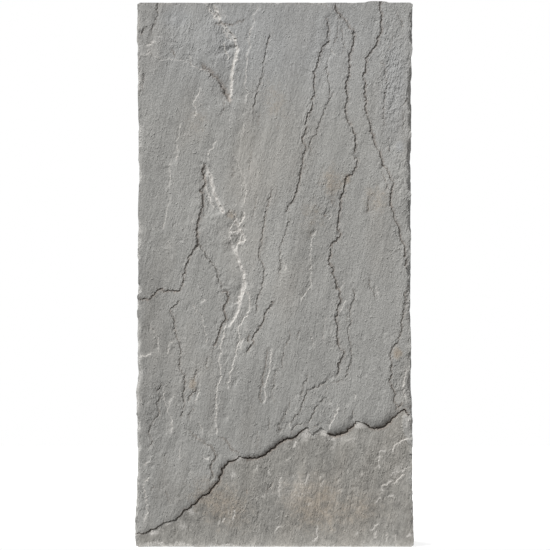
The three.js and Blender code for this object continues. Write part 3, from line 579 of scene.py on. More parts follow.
def ledge_relief(points, ledge):
    """Depth, paleness, soil with painted shade and roughness from one step for the points near it, and how
    clear they are.
    """
    path = ledge["path"]
    margin = ledge["run"] + MARGIN
    near = np.all((points > path.min(0) - margin) & (points < path.max(0) + margin), axis=1)
    where = np.flatnonzero(near)
    if len(where) == 0:
        return where, None
    distance, walked = measure(points[where], path, ledge["low"])
    smooth = ledge["pale"] >= CRUSHED
    share = along_share(walked, ledge["length"], path, CRUSHED_TAPER * TAPER if smooth else TAPER)
    flutter = np.array([0.7 * noise.noise(Vector((w / 8, path[0][0], path[0][1])))
                        + 1.1 * noise.noise(Vector((w / 2.4, path[0][1], path[0][0]))) for w in walked])
    if smooth:
        flutter *= CRUSHED_FLUTTER
    flutter *= np.exp(-np.clip(distance, 0, None) / FLUTTER_RUN)
    share = share * np.clip(1 + flutter, 0.3, 2)
    rise = np.clip(distance / ledge["wall"] + 0.5, 0, 1)
    fade = np.clip(1 - distance / ledge["run"], 0, 1) ** 1.3
    depth = ledge["drop"] * share * rise * fade
    if ledge["groove"]:
        open_width = ledge["groove_width"] - ledge["wall"] / 2
        bottom = np.clip((ledge["groove_width"] - distance) / open_width, 0, 1)
        depth += ledge["groove"] * share * rise * bottom
    pale = ledge["pale"] * np.exp(-((distance - 0.3) / ledge["width"]) ** 2) * np.clip(2 * share, 0, 1)
    # Soil darkens the foot of the step; where the groove lies in shadow, this is painted shade as well as
    # soil.
    foot = np.clip(1 - np.abs(distance - 0.4 * ledge["groove_width"]) / (ledge["groove_width"] + 0.2), 0, 1)
    soil_and_shade = ledge["soil_and_shade"] * foot * np.clip(1.5 * share, 0, 1)
    rough = ledge["chippy"] * np.exp(-(distance / 3.5) ** 2) * np.clip(2 * share, 0, 1)
    clear = np.maximum(-ledge["wall"] / 2 - distance, distance - ledge["groove_width"])
    return where, (depth, pale, soil_and_shade, rough, clear)


def add_ledges(points, ledges, depth, masks, clear):
    """Adds every step to the depth, to the masks for paleness, soil with painted shade and roughness, and to
    the clearance.
    """
    for ledge in ledges:
        where, relief = ledge_relief(points, ledge)
        if relief is None:
            continue
        depth[where] += relief[0]
        for mask, given in zip(masks, relief[1:4]):
            mask[where] = np.maximum(mask[where], given)
        clear[where] = np.minimum(clear[where], relief[4])


# %% Swell and the missing layer of the foot
CHUNK = 8000


def front_swell(x, z):
    """The slow waves of the front."""
    return 0.9 * np.sin(x / 62 + z / 170) + 0.7 * np.sin(z / 74 - x / 150 + 1.1)


def back_swell(x, z):
    """The slow waves of the back."""
    return 1.6 * np.sin(x / 70 - z / 120 + 0.6) + 1.2 * np.sin(z / 92 + x / 160)


def foot_relief(points):
    """Depth of the foot's layer with its groove and lip, soil and painted shade in the groove, crumbs, and
    the distance from its edge.
    """
    distance = np.empty(len(points))
    for chunk in np.array_split(np.arange(len(points)), max(1, len(points) // CHUNK)):
        distance[chunk] = measure(points[chunk], foot_path, "below")[0]
    groove, width, lip = (np.interp(points[:, 0], FOOT_GROOVE[:, 0], FOOT_GROOVE[:, k]) for k in (1, 2, 3))
    lip_run = np.interp(points[:, 0], (38, 50), (LIP_RUN_LEFT, LIP_RUN))
    fall = FOOT_FALL_AT_BASE + (FOOT_FALL - FOOT_FALL_AT_BASE) * np.clip(points[:, 1], 0, None) / 100
    rise = np.clip((distance + FOOT_WALL / 2) / FOOT_WALL, 0, 1)
    bottom = np.clip((width - distance) / (width - FOOT_WALL / 2), 0, 1)
    away = np.clip(distance, 0, None)
    fall = fall - (fall - FALL_AT_LINE) * np.exp(-away / SLOPE_RUN) + 0.6 * lip * np.exp(-away / LIP_RUN)
    rounded = lip * np.clip(1 + np.minimum(distance, 0) / lip_run, 0, 1) ** 2.2
    depth = fall * rise + groove * rise * bottom + rounded * (1 - rise)
    # The groove under the step is darkened, partly as soil, partly as painted shade.
    soil_and_shade = np.clip(groove / 1.6, 0, 1) * np.clip(1.35 - np.abs(distance - 0.4 * width) / width, 0, 1)
    clear = np.maximum(-FOOT_WALL / 2 - distance, distance - width)
    crumbled = np.clip(1 - groove / 1.6, 0, 1) * np.exp(-((distance - 1) / 3) ** 2)
    return depth, soil_and_shade, crumbled, distance, clear


# %% [markdown]
# ## Scars too small to place by hand
# Between the measured steps the face has many short scars where single flakes sprang off. They lie roughly
# along the grain. A few fields say where they are dense, and a seed strews them.

# %% Fields of small scars
# The grain leans to the right
LEAN = math.radians(12)

# Each field is [x, z, half width, half height, how many, how many of ten lie bright, paleness]
SCAR_FIELDS = [
    (0, 250, 116, 240, 90, 5, 0.45), (-92, 150, 30, 92, 46, 5, 0.5), (-84, 320, 28, 44, 26, 6, 0.5),
    (-92, 462, 30, 22, 24, 5, 0.45), (-44, 170, 22, 80, 34, 6, 0.5), (104, 400, 17, 90, 60, 5, 0.45),
    (-46, 455, 12, 42, 26, 6, 0.6), (94, 190, 26, 60, 22, 5, 0.45), (0, 46, 118, 40, 150, 6, 0.5),
    (48, 120, 40, 20, 16, 6, 0.5), (-40, 380, 22, 24, 14, 6, 0.5), (30, 98, 26, 12, 18, 8, 0.9),
]


def strew_scars():
    """Short seeded steps along the grain."""
    draw = random.Random(5)
    scars = []
    for x, z, half_width, half_height, count, bright_of_ten, paleness in SCAR_FIELDS:
        for _ in range(count):
            length = draw.uniform(2.5, 9)
            lean = LEAN + math.radians(draw.gauss(0, 22))
            ahead = np.array((math.sin(lean), math.cos(lean)))
            aside = np.array((ahead[1], -ahead[0]))
            start = np.array((x + half_width * draw.uniform(-1, 1), z + half_height * draw.uniform(-1, 1)))
            bow = draw.uniform(-0.18, 0.18) * length
            line = [start, start + ahead * length / 2 + aside * bow, start + ahead * length]
            shaded = draw.random() > bright_of_ten / 10
            scar = {"fall": draw.uniform(0.2, 0.7), "low": "right" if shaded else "left",
                    "reach": draw.uniform(2, 6), "pale": 0.0 if shaded else paleness * draw.uniform(0.2, 1),
                    "soil_and_shade": draw.uniform(0, 0.25), "width": 0.9,
                    "path": roughen(line, seed=draw.randrange(10000), amount=0.35)}
            if abs(start[0]) < 118 and 6 < start[1] < HEIGHT - 14:
                set_form(scar)
                scars.append(scar)
    return scars


FACE_LEDGES += strew_scars()
print("steps with the small scars:", len(FACE_LEDGES))

# %% [markdown]
# ## Rough places and stains
# Some places split badly and stayed rough: the strip at the right, the scar at the top and the crushed zone
# left of the middle. Others took iron stains from the bed, or stayed bluish, or are strewn with pale crumbs.
# Broad places are also painted lighter or darker, as painted light and shade for slow tilts of the face. Each
# place is an ellipse with a soft edge: [x, z, half width, half height, lean to the right in degrees,
# strength].

# %% Soft ellipses
ROUGH_PATCHES = [
    (108, 430, 16, 66, 0, 0.9), (116, 340, 10, 60, -12, 0.6), (-46, 462, 9, 40, -24, 0.7),
    (-60, 322, 7, 40, -12, 0.8), (-34, 286, 9, 14, -20, 1.0), (-90, 470, 30, 20, 0, 0.4),
    (116, 152, 9, 26, 0, 0.8), (-40, 215, 14, 40, -16, 0.45), (44, 318, 18, 40, -10, 0.5),
    (-10, 40, 110, 38, 0, 0.2), (80, 70, 50, 40, 0, 0.25), (-110, 130, 14, 50, 0, 0.4),
]
OCHRE_PATCHES = [
    (54, 336, 15, 20, -10, 0.55), (67, 338, 4, 6, 0, 0.7), (93, 320, 15, 20, 0, 0.45),
    (0, 410, 16, 26, -12, 0.4), (-70, 390, 14, 22, -12, 0.35), (-75, 150, 5, 7, 0, 0.8),
    (-40, 305, 5, 5, 0, 0.7), (113, 178, 6, 8, 0, 0.8), (36, 40, 40, 30, 20, 0.6),
    (-50, 40, 40, 26, 30, 0.55), (70, 34, 40, 20, 0, 0.45), (36, 300, 14, 30, -10, 0.35),
]
COOL_PATCHES = [
    (-90, 486, 26, 16, 0, 0.8), (110, 424, 18, 66, 0, 0.7), (115, 368, 5, 7, 0, 0.9),
    (-60, 440, 40, 40, 0, 0.3), (-20, 490, 40, 14, 0, 0.4), (0, 470, 150, 70, 0, 0.7),
]

# Places strewn with pale crumbs
CRUMB_PATCHES = [
    (-111, 14, 6, 4, -20, 0.65), (-119, 24, 4, 10, 0, 0.5), (-100, 24, 6, 3, -40, 0.5),
    (-84, 20, 6, 6, 0, 0.5), (-77, 33, 7, 3, 50, 0.6), (-34, 82, 5, 4, 0, 0.8), (-38, 67, 4, 5, 0, 0.55),
    (-64, 93, 7, 4, 0, 0.45), (29, 104, 10, 5, -60, 0.65), (46, 105, 6, 4, 0, 0.7),
    (79, 112, 7, 4, 0, 0.75), (122, 116, 5, 12, 0, 0.6), (112, 70, 10, 5, -50, 0.45),
    (60, 100, 30, 6, 0, 0.35), (20, 55, 30, 24, 0, 0.3), (-26, 201, 3, 4, 0, 0.7), (65, 422, 3, 6, 0, 0.5),
    (57, 223, 3, 7, 0, 0.5), (-34, 290, 5, 8, 0, 0.6), (-50, 492, 6, 12, -30, 0.5),
    (-64, 340, 5, 12, 0, 0.45), (-60, 320, 5, 12, -30, 0.45), (-112, 455, 12, 7, 0, 0.45),
    (-97, 110, 6, 16, 14, 0.45), (-68, 410, 5, 18, 10, 0.4), (-40, 395, 8, 22, 10, 0.4),
]

# Painted light and shade for slow tilts of the face, lighter where the strength is positive
PAINTED_LIGHT_AND_SHADE_PATCHES = [
    (0, 12, 190, 44, 0, -0.35), (-112, 190, 20, 170, 0, -0.9), (-66, 478, 44, 34, 0, 0.7),
    (-20, 260, 34, 90, 0, 0.5), (-10, 470, 26, 24, 0, 0.3), (44, 330, 34, 60, 0, -0.2),
    (0, 120, 60, 40, 0, -0.3), (70, 130, 40, 40, 0, 0.3), (112, 90, 16, 40, 0, 0.4),
    (112, 300, 14, 120, 0, 0.2), (10, 190, 30, 60, 0, 0.2), (60, 60, 30, 20, 0, -0.3),
    (-60, 40, 50, 20, 0, -0.3),
]


def patch_mask(points, patches):
    """The strongest of a list of soft ellipses at each point."""
    mask = np.zeros(len(points))
    for x, z, half_width, half_height, lean, strength in patches:
        turn = math.radians(lean)
        dx = points[:, 0] - x
        dz = points[:, 1] - z
        across = dx * math.cos(turn) - dz * math.sin(turn)
        along = dx * math.sin(turn) + dz * math.cos(turn)
        radius = np.hypot(across / half_width, along / half_height)
        mask = np.maximum(mask, strength * np.clip(1.35 - radius, 0, 1) ** 1.2)
    return np.clip(mask, 0, 1)


def painted_light_and_shade_mask(points):
    """Half, plus or minus the painted light and shade at each point."""
    mask = np.full(len(points), 0.5)
    for *place, strength in PAINTED_LIGHT_AND_SHADE_PATCHES:
        mask += 0.5 * strength * patch_mask(points, [(*place, 1.0)])
    return np.clip(mask, 0, 1)


# %% [markdown]
# ## Lineation
# The split face has a grain: fine ridges that lean a little to the right. Ridges wider than about four
# millimetres are geometry here, drawn out along the lean. In rough places a coarser unevenness is added.

# %% Unevenness between the steps
# Each is [depth, length across the grain, length along the grain, offset]
RIDGES = [(0.13, 4.5, 30, 1.7), (0.3, 9, 50, 4.1), (0.5, 26, 60, 9.3)]
PICKED = [(0.55, 5, 7, 2.2), (0.45, 3.2, 3.6, 5.9)]
LEAST_PICKED = 0.15


def unevenness(x, z, rough):
    """Depth of the ridges and of the roughness at one point of the face."""
    across = x * math.cos(LEAN) - z * math.sin(LEAN)
    along = x * math.sin(LEAN) + z * math.cos(LEAN)
    ridges, picked = (sum(depth * noise.noise(Vector((across / wide, along / long, offset)))
                          for depth, wide, long, offset in waves) for waves in (RIDGES, PICKED))
    return ridges + (LEAST_PICKED + rough) * picked


# %% Depth and masks of the whole front face
CRUMBLED_PALE = 0.6
# A pale strip along the base of the face: partly pale chips, partly painted light bounced up from the floor
BASE_CHIPS_AND_BOUNCE = 0.35
BASE_STRIP = 3.5


def front_relief(points):
    """Depth of every point of the front, and its masks."""
    x, z = points[:, 0], points[:, 1]
    foot_depth, soil_and_shade, crumbled, foot_distance, clear = foot_relief(points)
    depth = front_swell(x, z) + foot_depth
    rough = np.maximum(patch_mask(points, ROUGH_PATCHES), crumbled)
    # The strip along the base is partly pale chips and partly painted light bounced up from the floor.
    pale = CRUMBLED_PALE * crumbled + BASE_CHIPS_AND_BOUNCE * np.clip(1 - z / BASE_STRIP, 0, 1)
    pale = np.maximum(pale, patch_mask(points, CRUMB_PATCHES))
    add_ledges(points, FACE_LEDGES, depth, (pale, soil_and_shade, rough), clear)
    depth += np.array([unevenness(a, b, c) for a, b, c in zip(x, z, rough)])
    # The tone mask is painted light and shade: broad places made lighter or darker
    masks = {"pale": pale, "soil_and_shade": soil_and_shade, "rough": rough,
             "ochre": patch_mask(points, OCHRE_PATCHES), "cool": patch_mask(points, COOL_PATCHES),
             "foot": np.clip(foot_distance / 3, 0, 1), "tone": painted_light_and_shade_mask(points)}
    return depth, masks, clear


# %% [markdown]
# ## The back
# The back of such a post is split too. It wasn't picked for show, so its steps are fewer, broader and calmer.

# %% Steps of the back, as [left of middle from the front, height]
FAR = 99.0
BACK_LEDGES = [
    (3.2, "right", 40, [(-38, 503), (-34, 470), (-44, 438), (-40, 402), (-52, 366), (-49, 331), (-60, 296),
                        (-56, 262), (-66, 236)]),
    (2.4, "left", 34, [(66, 503), (60, 466), (64, 431), (52, 396), (55, 352), (43, 316), (47, 282),
                       (36, 244)]),
    (4.0, "below", 60, [(-132, 176), (-104, 170), (-78, 152), (-52, 148), (-24, 131), (6, 128), (31, 108),
                        (62, 104), (88, 86), (132, 80)]),
    (1.8, "right", 20, [(-98, 460), (-92, 418), (-101, 378), (-96, 334), (-106, 290)]),
    (1.8, "left", 20, [(98, 392), (92, 344), (99, 301), (90, 262), (94, 214)]),
    (1.5, "right", 20, [(2, 300), (-4, 262), (3, 224), (-8, 190)]),
]
back_ledges = [
    {"fall": fall, "low": low, "reach": reach, "path": roughen(line, seed=500 + k, spacing=4, amount=1.1),
     "pale": 0.5 * (low == "left"), "soil_and_shade": 0.6, "width": 1.4}
    for k, (fall, low, reach, line) in enumerate(BACK_LEDGES)
]
for ledge in back_ledges:
    set_form(ledge)
    ledge["drop"], ledge["run"] = ledge["fall"], ledge["reach"]


def back_relief(points):
    """Depth and masks of the back. Points are [right of middle, height] as seen from the front."""
    x, z = points[:, 0], points[:, 1]
    depth = back_swell(x, z)
    mirrored = np.column_stack((-x, z))
    pale = np.zeros(len(points))
    soil_and_shade = np.zeros(len(points))
    clear = np.full(len(points), FAR)
    add_ledges(mirrored, back_ledges, depth, (pale, soil_and_shade), clear)
    rough = np.array([0.5 + 0.5 * noise.noise(Vector((a / 60, b / 60, 7))) for a, b in points])
    depth += np.array([1.5 * unevenness(a, b, 0.5 * c) for a, b, c in zip(-x, z, rough)])
    masks = {"pale": pale, "soil_and_shade": soil_and_shade, "rough": 0.6 * rough, "ochre": 0.3 * rough,
             "cool": np.zeros(len(points)), "foot": np.zeros(len(points)), "tone": np.full(len(points), 0.5)}
    return depth, masks, clear


# %% [markdown]
# ## The rim
# All round the stone its beds show edge on. Each bed broke a little differently under the hammer, so each
# stands in or out by a few tenths of a millimetre to a millimetre, and a fine groove marks the joint between
# two beds. The rim is a grid: its columns walk round the outline and its rows go from the front to the back.

# %% The loop round the outline
RIM_SPACING = 2.15
CORNER = 1.4

# A flake that stands proud of the top
TOP_RISE = 1.4
TOP_RISE_X = 94.0
TOP_RISE_HALF = 11.0


def corner_places(x, z, before, after):
    """Two places round a corner, where the way out turns from the one side's to the next side's."""
    places = []
    for k in (1, 2):
        turn = k / 3 * math.pi / 2
        way = [a * math.cos(turn) + b * math.sin(turn) for a, b in zip(before, after)]
        places.append((x + CORNER * way[0], z + CORNER * way[1], *way))
    return places


def rim_loop():
    """Places round the outline, clockwise from the bottom left, with the way out at each."""
    upright = np.linspace(CORNER, HEIGHT - CORNER, round((HEIGHT - 2 * CORNER) / RIM_SPACING))
    left_top, right_top = float(edge_at(HEIGHT, 1)), float(edge_at(HEIGHT, 2))
    left_base, right_base = float(edge_at(0, 1)), float(edge_at(0, 2))
    places = [(float(edge_at(z, 1)), z, -1, 0) for z in upright]
    places += corner_places(left_top + CORNER, HEIGHT - CORNER, (-1, 0), (0, 1))
    level = np.linspace(left_top + CORNER, right_top - CORNER, round((right_top - left_top) / RIM_SPACING))
    rises = TOP_RISE * np.clip(1 - np.abs((level - TOP_RISE_X) / TOP_RISE_HALF) ** 4, 0, None)
    places += [(x, HEIGHT + rise, 0, 1) for x, rise in zip(level, rises)]
    places += corner_places(right_top - CORNER, HEIGHT - CORNER, (0, 1), (1, 0))
    places += [(float(edge_at(z, 2)), z, 1, 0) for z in upright[::-1]]
    places += corner_places(right_base - CORNER, CORNER, (1, 0), (0, -1))
    count = round((right_base - left_base) / RIM_SPACING)
    places += [(x, 0, 0, -1) for x in np.linspace(right_base - CORNER, left_base + CORNER, count)]
    places += corner_places(left_base + CORNER, CORNER, (0, -1), (-1, 0))
    return np.array(places)


loop = rim_loop()
loop_walk = np.concatenate(((0,), np.cumsum(np.hypot(*np.diff(loop[:, :2], axis=0).T))))
print("places round the rim:", len(loop))

# %% Beds of the stone, edge on
BED_JOINTS = [-40, -34, -28.5, -19, -11, -3, 7, 15, 24, 31, 36, 40]
JOINT_HALF = 0.3
JOINT_DEPTH = 0.45
JOINT_WAVE = 1.3
BED_STAND = 0.75

# How far the rim turns in at the face, at the back and at the base, and over what run
FRONT_ROUND = 0.15
FRONT_ROUND_RUN = 1.6
BACK_ROUND = 1.3
BACK_ROUND_RUN = 4.8
BASE_BEVEL = 0.25
BASE_BEVEL_RUN = 1.2
BASE_SHARE = 0.4

# Towards the face the sides and the top stand proud again, and near the corners the beds lie calmer
ARRIS_PROUD = 1.25
ARRIS_PROUD_RUN = 22.0
HALF_WIDTH = 125
CALM_SHARE = 0.35
CALM_RUN = 12


def joint_at(k, walk):
    """The y of a joint between beds, which waves a little on its way round."""
    wave = 0 if k in (0, len(BED_JOINTS) - 1) else JOINT_WAVE
    return BED_JOINTS[k] + wave * noise.noise(Vector((walk / 55, 3.3 * k, 0.5)))


def bed_inset(y, place, walk, front_y, back_y):
    """How far the rim stands in from the outline at a depth y."""
    k = 0
    while k < len(BED_JOINTS) - 2 and joint_at(k + 1, walk) < y:
        k += 1
    stand = BED_STAND + BED_STAND * noise.noise(Vector((walk / 24, 5.1 * k, 2.5)))
    stand += 0.35 * noise.noise(Vector((walk / 7, 5.1 * k + y / 8, 6.5)))
    stand += 0.5 * noise.noise(Vector((walk / 60, y / 30, 8.5)))
    stand *= min(1, 0.3 + (y - front_y) / 9)
    groove = 0
    for joint in (joint_at(k, walk), joint_at(k + 1, walk)):
        if FRONT_Y < joint < BACK_Y:
            groove = max(groove, JOINT_DEPTH * max(0, 1 - abs(y - joint) / (2 * JOINT_HALF)))
    rounded = FRONT_ROUND * max(0, 1 - (y - front_y) / FRONT_ROUND_RUN) ** 2
    rounded += BACK_ROUND * max(0, 1 - (back_y - y) / BACK_ROUND_RUN) ** 2
    if place[3] < 0:
        ragged = 0.8 + 0.5 * noise.noise(Vector((walk / 9, 0.5, 3.5)))
        rounded -= place[3] * BASE_BEVEL * ragged * max(0, 1 - (y - front_y) / BASE_BEVEL_RUN)
    from_corner = math.hypot(HALF_WIDTH - abs(place[0]), min(place[1], HEIGHT - place[1]))
    calm = min(1, CALM_SHARE + from_corner / CALM_RUN)
    proud = ARRIS_PROUD * (place[3] >= 0) * max(0, 1 - (y - front_y) / ARRIS_PROUD_RUN)
    least = 0.02 if place[3] else -ARRIS_PROUD
    inset = calm * (stand + groove + rounded) * (1 if place[3] >= 0 else BASE_SHARE)
    return max(least, inset - proud)


# %% [markdown]
# The rows of the rim follow the joints, so the little steps between beds stay sharp. Where the face lies low,
# over the foot, the first beds are missing, and their rows are squeezed together behind the face.

# %% Rows of the rim
def rim_rows(walk):
    """The y of each row at one place of the rim, before the face and the back squeeze them."""
    rows = []
    for k in range(len(BED_JOINTS) - 1):
        low, high = joint_at(k, walk), joint_at(k + 1, walk)
        rows += [low + JOINT_HALF, (low + high) / 2, high - JOINT_HALF]
    return rows[1:-1]


def loop_point(place, inset):
    """A point of the outline, moved in."""
    return place[0] - place[2] * inset, place[1] - place[3] * inset


front_edge = np.array([loop_point(place, bed_inset(FRONT_Y, place, walk, FRONT_Y, BACK_Y))
                       for place, walk in zip(loop, loop_walk)])
back_edge = np.array([loop_point(place, bed_inset(BACK_Y, place, walk, FRONT_Y, BACK_Y))
                      for place, walk in zip(loop, loop_walk)])
front_edge_y = FRONT_Y + front_relief(front_edge)[0]
back_edge_y = BACK_Y - back_relief(back_edge)[0]

rim_points = []
SQUEEZE = 0.22
for place, walk, front_y, back_y, front_xz, back_xz in zip(
        loop, loop_walk, front_edge_y, back_edge_y, front_edge, back_edge):
    rows = rim_rows(walk)
    column = [(front_xz[0], front_y, front_xz[1])]
    for k, y in enumerate(rows):
        held = max(y, front_y + SQUEEZE * (k + 1))
        held = min(held, back_y - SQUEEZE * (len(rows) - k))
        inset = bed_inset(held, place, walk, front_y, back_y)
        x, z = loop_point(place, inset)
        column.append((x, held, z))
    column.append((back_xz[0], back_y, back_xz[1]))
    rim_points.append(column)
rim_points = np.array(rim_points)
print("rim grid:", rim_points.shape[:2])

# %% [markdown]
# ## Triangles for the faces
# A regular grid would turn every slanting step into a staircase. Instead, points are laid in rails along each
# line: at the top of its wall, at its foot, and where its groove ends. A loose field fills what is left.
# Blender's constrained Delaunay triangulation joins them all and keeps the rails as edges.

# %% A field of points
FRONT_SPACING = 1.66
BACK_SPACING = 4.2
LOOSENESS = 0.22


def point_field(spacing, seed):
    """Loosely staggered points over the face, kept off its edge."""
    draw = np.random.default_rng(seed)
    rows = np.arange(spacing, HEIGHT - 0.5 * spacing, spacing * math.sqrt(0.75))
    points = []
    for k, z in enumerate(rows):
        xs = np.arange(-128 + 0.5 * spacing * (k % 2), 128, spacing)
        points.append(np.column_stack((xs, np.full(len(xs), z))))
    points = np.vstack(points)
    points += draw.uniform(-LOOSENESS, LOOSENESS, points.shape) * spacing
    inside = (points[:, 0] > edge_at(points[:, 1], 1) + 2 + 0.5 * spacing)
    inside &= (points[:, 0] < edge_at(points[:, 1], 2) - 2 - 0.5 * spacing)
    inside &= (points[:, 1] > 1 + 0.5 * spacing) & (points[:, 1] < HEIGHT - 1.5 - 0.5 * spacing)
    return points[inside]


def rails(path, low, offsets):
    """Rails beside a line, as runs of points that are marked where they lie inside the face."""
    lengths, normals = line_normals(path, low)
    corners = corner_normals(normals)
    runs = []
    for offset in offsets:
        rail = path + corners * np.reshape(offset, (-1, 1))
        keep = (rail[:, 0] > edge_at(rail[:, 1], 1) + 3) & (rail[:, 0] < edge_at(rail[:, 1], 2) - 3)
        keep &= (rail[:, 1] > 2.5) & (rail[:, 1] < HEIGHT - 3)
        runs.append((rail, keep))
    return runs


# %% Triangulate one face
INSIDE_ONLY = 1
SAME_PLACE = 1e-4


def triangulate(edge, field, all_rails):
    """Joins the edge loop, the rails and the field into triangles."""
    points = [Vector(p) for p in edge]
    edges = [(k, (k + 1) % len(edge)) for k in range(len(edge))]
    for rail, keep in all_rails:
        previous = None
        for place, inside in zip(rail, keep):
            if not inside:
                previous = None
                continue
            points.append(Vector(place))
            if previous is not None:
                edges.append((previous, len(points) - 1))
            previous = len(points) - 1
    points += [Vector(p) for p in field]
    made = delaunay_2d_cdt(points, edges, [], INSIDE_ONLY, SAME_PLACE)
    return np.array([tuple(v) for v in made[0]]), [tuple(face) for face in made[2]]


# %% The front
CLEAR_SHARE = 0.42
front_field = point_field(FRONT_SPACING, seed=11)
front_field = front_field[front_relief(front_field)[2] > CLEAR_SHARE * FRONT_SPACING]
front_rails = []
for ledge in FACE_LEDGES:
    offsets = [-ledge["wall"] / 2, ledge["wall"] / 2]
    if ledge["groove"]:
        offsets.append(ledge["groove_width"])
    if ledge["pale"] >= CRUSHED and ledge["width"] > 1:
        offsets += [-ledge["wall"], 0, ledge["wall"]]
    front_rails += rails(ledge["path"], ledge["low"], offsets)
foot_groove_width = np.interp(foot_path[:, 0], FOOT_GROOVE[:, 0], FOOT_GROOVE[:, 2])
front_rails += rails(foot_path, "below", [-FOOT_WALL / 2, FOOT_WALL / 2, foot_groove_width])
front_flat, front_faces = triangulate(front_edge, front_field, front_rails)
front_depth, front_masks, _ = front_relief(front_flat)
front_points = np.column_stack((front_flat[:, 0], FRONT_Y + front_depth, front_flat[:, 1]))
print("front triangles:", len(front_faces))

# %% The back
back_field = point_field(BACK_SPACING, seed=12)
back_field = back_field[back_relief(back_field)[2] > CLEAR_SHARE * BACK_SPACING]
back_rails = []
for ledge in back_ledges:
    for rail, keep in rails(ledge["path"], ledge["low"], [-ledge["wall"] / 2, ledge["wall"] / 2]):
        back_rails.append((rail * (-1, 1), keep))
back_flat, back_faces = triangulate(back_edge, back_field, back_rails)
back_depth, back_masks, _ = back_relief(back_flat)
back_points = np.column_stack((back_flat[:, 0], BACK_Y - back_depth, back_flat[:, 1]))
print("back triangles:", len(back_faces))

# %% [markdown]
# ## Chips along the arrises
# A hammer blow or a knock takes a shallow shell out of an arris. A large ball that dips into the stone gives
# that form: each point inside the ball is pushed out to its surface. The big chips stand at measured places,
# the small ones are strewn along the arrises with a seed.

# %% Chips as balls
# Each is [side, height, length, depth]. The left side is -1, the right side 1.
SIDE_CHIPS = [
    (-1, 476, 26, 1.6), (-1, 432, 30, 2.4), (-1, 349, 20, 1.4), (-1, 268, 18, 1.6), (-1, 184, 30, 1.3),
    (-1, 135, 26, 2.6), (-1, 92, 24, 1.2), (-1, 52, 26, 1.6), (1, 472, 24, 1.4), (1, 418, 34, 2.2),
    (1, 356, 20, 1.6), (1, 304, 28, 1.2), (1, 214, 30, 1.5), (1, 152, 36, 2.4), (1, 60, 26, 1.6),
]
BACK_CHIPS = [
    (1, 446, 40, 3), (1, 372, 46, 3.4), (1, 286, 34, 2.4), (1, 206, 44, 3.2), (1, 118, 36, 2.6),
    (-1, 462, 34, 2.6), (-1, 394, 44, 3.4), (-1, 322, 36, 2.6), (-1, 240, 46, 3.6), (-1, 150, 34, 2.4),
    (-1, 66, 40, 3),
]

# Each is [end, right of middle, length, depth]. The base is 0, the top 1.
END_CHIPS = [
    (0, -110, 26, 2), (0, -86, 24, 3), (0, -42, 34, 3.2), (0, 4, 30, 2.6), (0, 62, 34, 3), (0, 96, 26, 2.2),
    (1, -96, 30, 1.2), (1, -6, 26, 1), (1, 40, 22, 1),
]

# How far a ball stands out at the side or at the base for each part that it stands out from the face
SIDE_SHARE = 2.4
BACK_SHARE = 1.3
BASE_TURN = 0.4

# The share of their depth that the measured chips of the base get, and how many small chips are strewn
BASE_DEPTH = 0.5
SIDE_COUNT = 150
END_COUNT = 60


def ball(point, outward, length, depth):
    """Centre and radius of a ball that takes a chip of this length and depth out of an arris."""
    radius = length * length / (8 * depth)
    outward = np.array(outward, float) / np.linalg.norm(outward)
    return np.array(point, float) + outward * (radius - depth), radius


def all_chips():
    """The measured chips and the strewn ones."""
    draw = random.Random(31)
    balls = []
    for chips, y, out, share in ((SIDE_CHIPS, FRONT_Y, -1, SIDE_SHARE), (BACK_CHIPS, BACK_Y, 1, BACK_SHARE)):
        for side, z, length, depth in chips:
            edge = edge_at(z, 1 if side < 0 else 2)
            balls.append(ball((edge, y, z), (share * side, out, 0), length, depth))
    for end, x, length, depth in END_CHIPS:
        y = FRONT_Y + (0 if end else FOOT_FALL_AT_BASE)
        upward = 1 if end else -BASE_TURN
        balls.append(ball((x, y, end * HEIGHT), (0, -1, upward), length, depth * (1 if end else BASE_DEPTH)))
    for _ in range(SIDE_COUNT):
        z = draw.uniform(8, HEIGHT - 8)
        side = draw.choice((-1, 1))
        face = draw.choice((-1, -1, 1))
        length = draw.uniform(5, 13)
        edge = edge_at(z, 1 if side < 0 else 2) - 0.8 * side
        y = face * THICKNESS / 2 + (FOOT_FALL if face < 0 and z < 110 and side > 0 else 0)
        outward = (side * draw.uniform(1.2, 2.4), face, draw.uniform(-0.3, 0.3))
        balls.append(ball((edge, y, z), outward, length, length * draw.uniform(0.07, 0.12)))
    for _ in range(END_COUNT):
        x = draw.uniform(-118, 118)
        end = draw.choice((0, 1))
        face = draw.choice((-1, 1))
        length = draw.uniform(5, 14)
        y = face * THICKNESS / 2 + (FOOT_FALL_AT_BASE if face < 0 and end == 0 else 0)
        outward = (0, face, (1 if end else -BASE_TURN) * draw.uniform(0.7, 1.4))
        balls.append(ball((x, y, end * HEIGHT), outward, length, length * draw.uniform(0.07, 0.12)))
    return balls


def push_out(points, balls):
    """Moves every point that lies inside a ball to the ball's surface. Also gives how chipped it is."""
    chipped = np.zeros(len(points))
    for centre, radius in balls:
        offset = points - centre
        distance = np.linalg.norm(offset, axis=1)
        inside = np.flatnonzero(distance < radius)
        if len(inside) == 0:
            continue
        ragged = np.array([0.9 * noise.noise(Vector(p / 4)) + 0.5 * noise.noise(Vector(p / 1.9))
                           for p in points[inside]])
        pushed = np.clip(radius - 0.25 + ragged - distance[inside], 0, None)
        chipped[inside] = np.maximum(chipped[inside], np.clip(pushed / 0.6, 0, 1))
        points[inside] += offset[inside] * (pushed / distance[inside])[:, None]
    return chipped


# %% [markdown]
# ## One closed mesh
# The front, the back and the rim share the points of their edges. Merging by distance welds them into one
# closed skin. The masks go along as point attributes, which the material reads by name.

